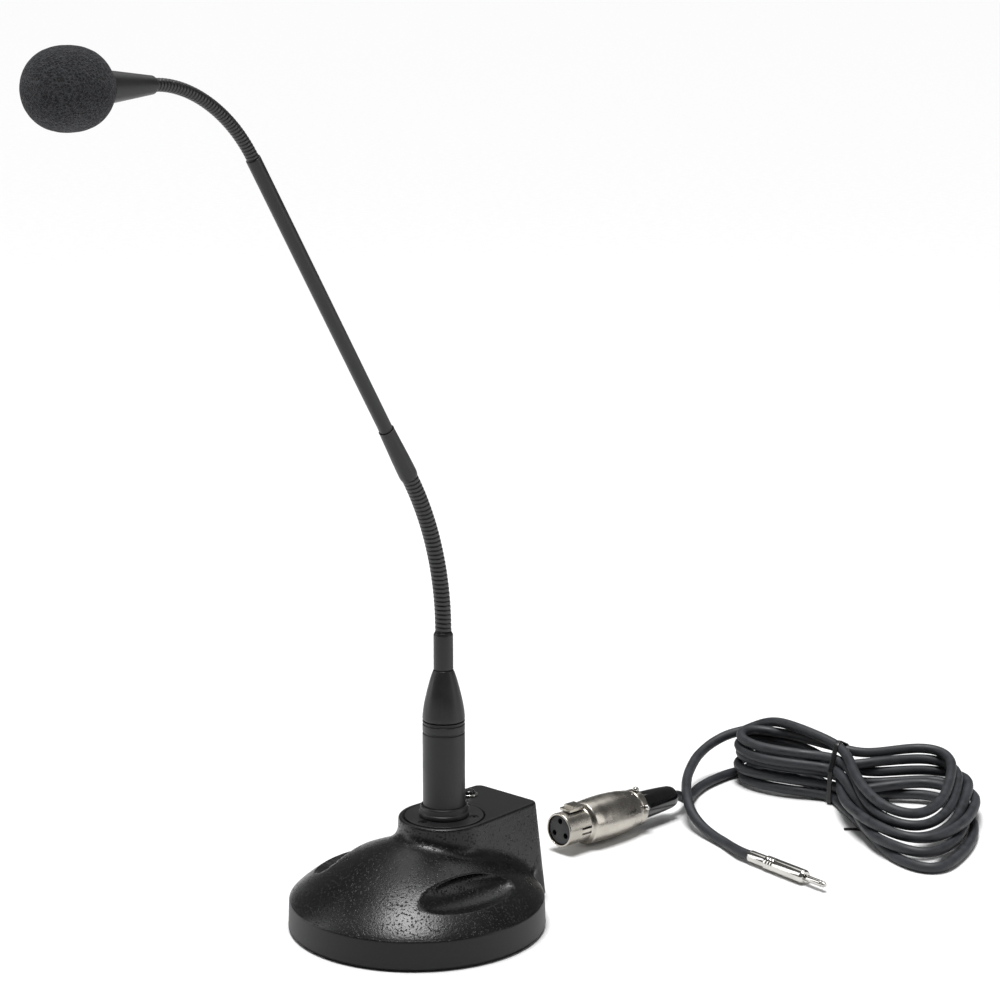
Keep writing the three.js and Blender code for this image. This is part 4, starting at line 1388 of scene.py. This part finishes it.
    def jack(self) -> list[bpy.types.Object]:
        """Bright jack: collar, barrel with rings and stepped pin."""
        spot = Spot.lying(JACK_START, np.array(JACK_DIRECTION))
        rings = [(4.0, 12.9), (4.0, 15.0), (3.6, 15.4), (4.0, 15.8), (4.0, 17.0), (3.6, 17.4), (4.0, 17.8), (4.0, 19.0),
                 (3.6, 19.4), (4.0, 19.8)]
        made = [
            lathe("jack_sleeve", softened([(0.001, 0.0), (3.2, 0.0), (3.4, 0.4), (3.4, 12.8), (0.001, 12.8)], 0.3),
                  spot, self.looks.chrome),
            lathe("jack_body", softened([(0.001, 12.9), *rings, (4.0, 41.0), (3.2, 42.6), (0.001, 42.6)], 0.3),
                  spot, self.looks.chrome),
            lathe("jack_tip", softened([
                (0.001, 42.9), (1.75, 42.9), (1.75, 54.0), (1.3, 54.5), (1.7, 55.6), (0.9, 57.2), (0.001, 57.4)], 0.2),
                spot, self.looks.chrome, 48),
        ]
        for piece, node in zip(made, ("jack_collar", "jack_barrel", "jack_pin")):
            finish_piece(piece, "base", Slot.CHROME, node)
        return made

    def tie(self) -> list[bpy.types.Object]:
        """Flat tie on the strands' outline at the waist (their support function), and its ends on the table."""
        s = self.size
        near = self.line[np.abs((self.line[:, :2] - np.array(s.tie)) @ self.waist_axis()) < 3.0]
        inside = near[np.linalg.norm(near[:, :2] - np.array(s.tie), axis=1) < 24.0]
        across = np.array([-self.waist_axis()[1], self.waist_axis()[0]])
        t = np.linspace(0.0, 2.0 * np.pi, 720, endpoint=False)
        out = np.stack([np.cos(t), np.sin(t)])
        strands = np.stack([(inside[:, :2] - np.array(s.tie)) @ across, inside[:, 2]], axis=1)
        reach = (strands @ out).max(axis=0) + s.diameter / 2.0 + 0.3
        ring = reach * out + np.gradient(reach, t) * np.stack([-out[1], out[0]])
        line = np.column_stack([np.array(s.tie) + ring[0][:, None] * across, np.maximum(ring[1], 0.6)])
        centre = even(np.vstack([line, line[:1]]), 0.6)[:-1]
        tangent = np.roll(centre, -1, axis=0) - np.roll(centre, 1, axis=0)
        tangent /= np.linalg.norm(tangent, axis=1, keepdims=True)
        wide = np.array([*self.waist_axis(), 0.0])
        thick = np.cross(tangent, wide)
        a = np.linspace(0.0, 2.0 * np.pi, 16, endpoint=False)
        section = (1.5 * np.sign(np.cos(a)) * np.abs(np.cos(a)) ** 0.5,
                   0.45 * np.sign(np.sin(a)) * np.abs(np.sin(a)) ** 0.5)
        rows = centre[:, None] + section[0][:, None] * wide + section[1][:, None] * thick[:, None]
        rows = np.vstack([rows, rows[:1]])
        band = finish_piece(grid_object("tie_band", rows, self.looks.tie), "base", Slot.RUBBER, "cable_tie")
        pieces = [band]
        for i, points in enumerate(s.tie_tails, 1):
            path = catmull(np.array(points), 1.0)
            along = np.gradient(path, axis=0)
            along /= np.linalg.norm(along, axis=1, keepdims=True)
            flat = np.cross(along, [0.0, 0.0, 1.0])
            flat /= np.linalg.norm(flat, axis=1, keepdims=True)
            up = np.cross(flat, along)
            rows = path[:, None] + section[0][:, None] * 0.8 * flat[:, None] + section[1][:, None] * up[:, None]
            pieces.append(finish_piece(grid_object(f"tie_tail_{i}", rows, self.looks.tie), "base", Slot.RUBBER))
        return pieces

    @staticmethod
    def waist_axis() -> np.ndarray:
        """Level direction of the strands where the tie holds them."""
        return np.array([0.98, 0.2])

    def build(self) -> None:
        cord = self.cord()
        plug = self.plug()
        pieces = [*plug, *self.jack(), *self.tie()]


# ------------------------------------------------------------------ inner and rear parts


class CarriedParts:
    """CAD pieces whose own shapes are kept."""

    def __init__(self, looks: Finishes) -> None:
        self.table = {
            "foot_pad": looks.rubber, "base_plate": looks.steel, "ballast_weight": looks.iron,
            "foot_screw_1": looks.screw, "foot_screw_2": looks.screw, "foot_screw_3": looks.screw,
            "socket_housing": looks.insert, "socket_insert": looks.insert, "switch_body": looks.insert,
            "circuit_board": looks.board, "outlet_shell": looks.nickel, "outlet_insert": looks.insert,
            "outlet_screw_1": looks.screw, "outlet_screw_2": looks.screw, "socket_leads": looks.wire,
            "outlet_leads": looks.wire, "plug_insert": looks.insert, "capsule_element": looks.alloy,
            "capsule_grille": looks.alloy,
        }

    def build(self) -> None:
        """Gives each kept piece its finish."""
        for node, material in self.table.items():
            paint(node, material)


# ------------------------------------------------------------------ studio


@dataclass
class CameraSize:
    """Camera place in metres, its turn in degrees and its lens in millimetres."""

    place: tuple[float, float, float] = (0.9114, -0.9294, 0.5086)
    tilt: float = 77.601
    pan: float = 42.57
    lens: float = 96.76


@dataclass
class Lamp:
    """One soft area light aimed at a point."""

    name: str
    place: tuple[float, float, float]
    aim: tuple[float, float, float]
    size: tuple[float, float]
    watts: float

    def build(self) -> None:
        """Adds the light."""
        data = bpy.data.lights.new(self.name, "AREA")
        data.shape, data.size, data.size_y = "RECTANGLE", *self.size
        data.energy = self.watts
        made = bpy.data.objects.new(self.name, data)
        bpy.context.scene.collection.objects.link(made)
        away = np.array(self.place) - np.array(self.aim)
        z = away / np.linalg.norm(away)
        x = np.cross([0.0, 0.0, 1.0], z)
        x /= np.linalg.norm(x)
        rows = np.column_stack([x, np.cross(z, x), z, self.place])
        made.matrix_world = Matrix([*rows.tolist(), [0.0, 0.0, 0.0, 1.0]])


class Studio:
    """Camera, pale floor, sky light and lamps."""

    def __init__(self, camera: CameraSize) -> None:
        self.camera_size = camera

    def camera(self) -> None:
        """Adds the camera."""
        c = self.camera_size
        data = bpy.data.cameras.new("camera")
        data.lens, data.sensor_width = c.lens, 36.0
        data.clip_end = 400.0
        made = bpy.data.objects.new("camera", data)
        made.location = c.place
        made.rotation_euler = (np.radians(c.tilt), 0.0, np.radians(c.pan))
        bpy.context.scene.collection.objects.link(made)
        bpy.context.scene.camera = made
        bpy.context.scene.view_settings.view_transform = "Standard"

    def floor(self) -> None:
        """Adds a large pale floor."""
        half = 60000.0
        corner = np.array([[-half, -half, 0.0], [half, -half, 0.0], [half, half, 0.0], [-half, half, 0.0]])
        paper = Finish(
            "pale_paper", (0.86, 0.86, 0.86), (0.88, 0.88, 0.88), (0.8, 0.9), fine=300.0, relief=0.00001).build()
        mesh_object("floor", corner, np.array([[0, 1, 2, 3]]), paper)

    def lights(self) -> None:
        """Adds a dim sky, a wide soft overhead sun and the panels."""
        world = bpy.data.worlds.new("sky")
        world.use_nodes = True
        sky = world.node_tree.nodes["Background"]
        sky.inputs[0].default_value = (1.0, 1.0, 1.0, 1.0)
        sky.inputs[1].default_value = 0.12
        bpy.context.scene.world = world
        data = bpy.data.lights.new("overhead", "SUN")
        data.energy, data.angle = 3.35, np.radians(25.0)
        made = bpy.data.objects.new("overhead", data)
        made.rotation_euler = (np.radians(5.5), np.radians(-1.0), 0.0)
        bpy.context.scene.collection.objects.link(made)
        for lamp in (
            Lamp("top", (-0.4, 0.7, 1.5), (0.0, 0.15, 0.0), (1.3, 1.3), 6.0),
            Lamp("left", (-0.9, -0.5, 0.5), (0.0, 0.0, 0.2), (0.3, 1.0), 2.2),
            Lamp("right", (1.1, 0.7, 0.5), (0.0, 0.1, 0.2), (0.3, 1.0), 2.0),
        ):
            lamp.build()

    def build(self) -> None:
        """Makes the studio."""
        self.camera()
        self.floor()
        self.lights()


def main() -> None:
    """Builds the studio and every sub-assembly in order."""
    logging.basicConfig(level=logging.INFO, format="%(message)s")
    looks = Finishes()
    neck = Neck(NeckSize(), looks)
    order = [
        ("studio", Studio(CameraSize())),
        ("cable", Cable(HankSize(), looks)),
        ("base", Base(BaseSize(), looks)),
        ("neck", neck),
        ("microphone", Microphone(neck, looks)),
        ("windscreen", Windscreen(FoamSize(), neck, looks)),
        ("carried parts", CarriedParts(looks)),
    ]
    for label, assembly in order:
        assembly.build()
        log.info("built %s", label)


if __name__ == "__main__":
    main()
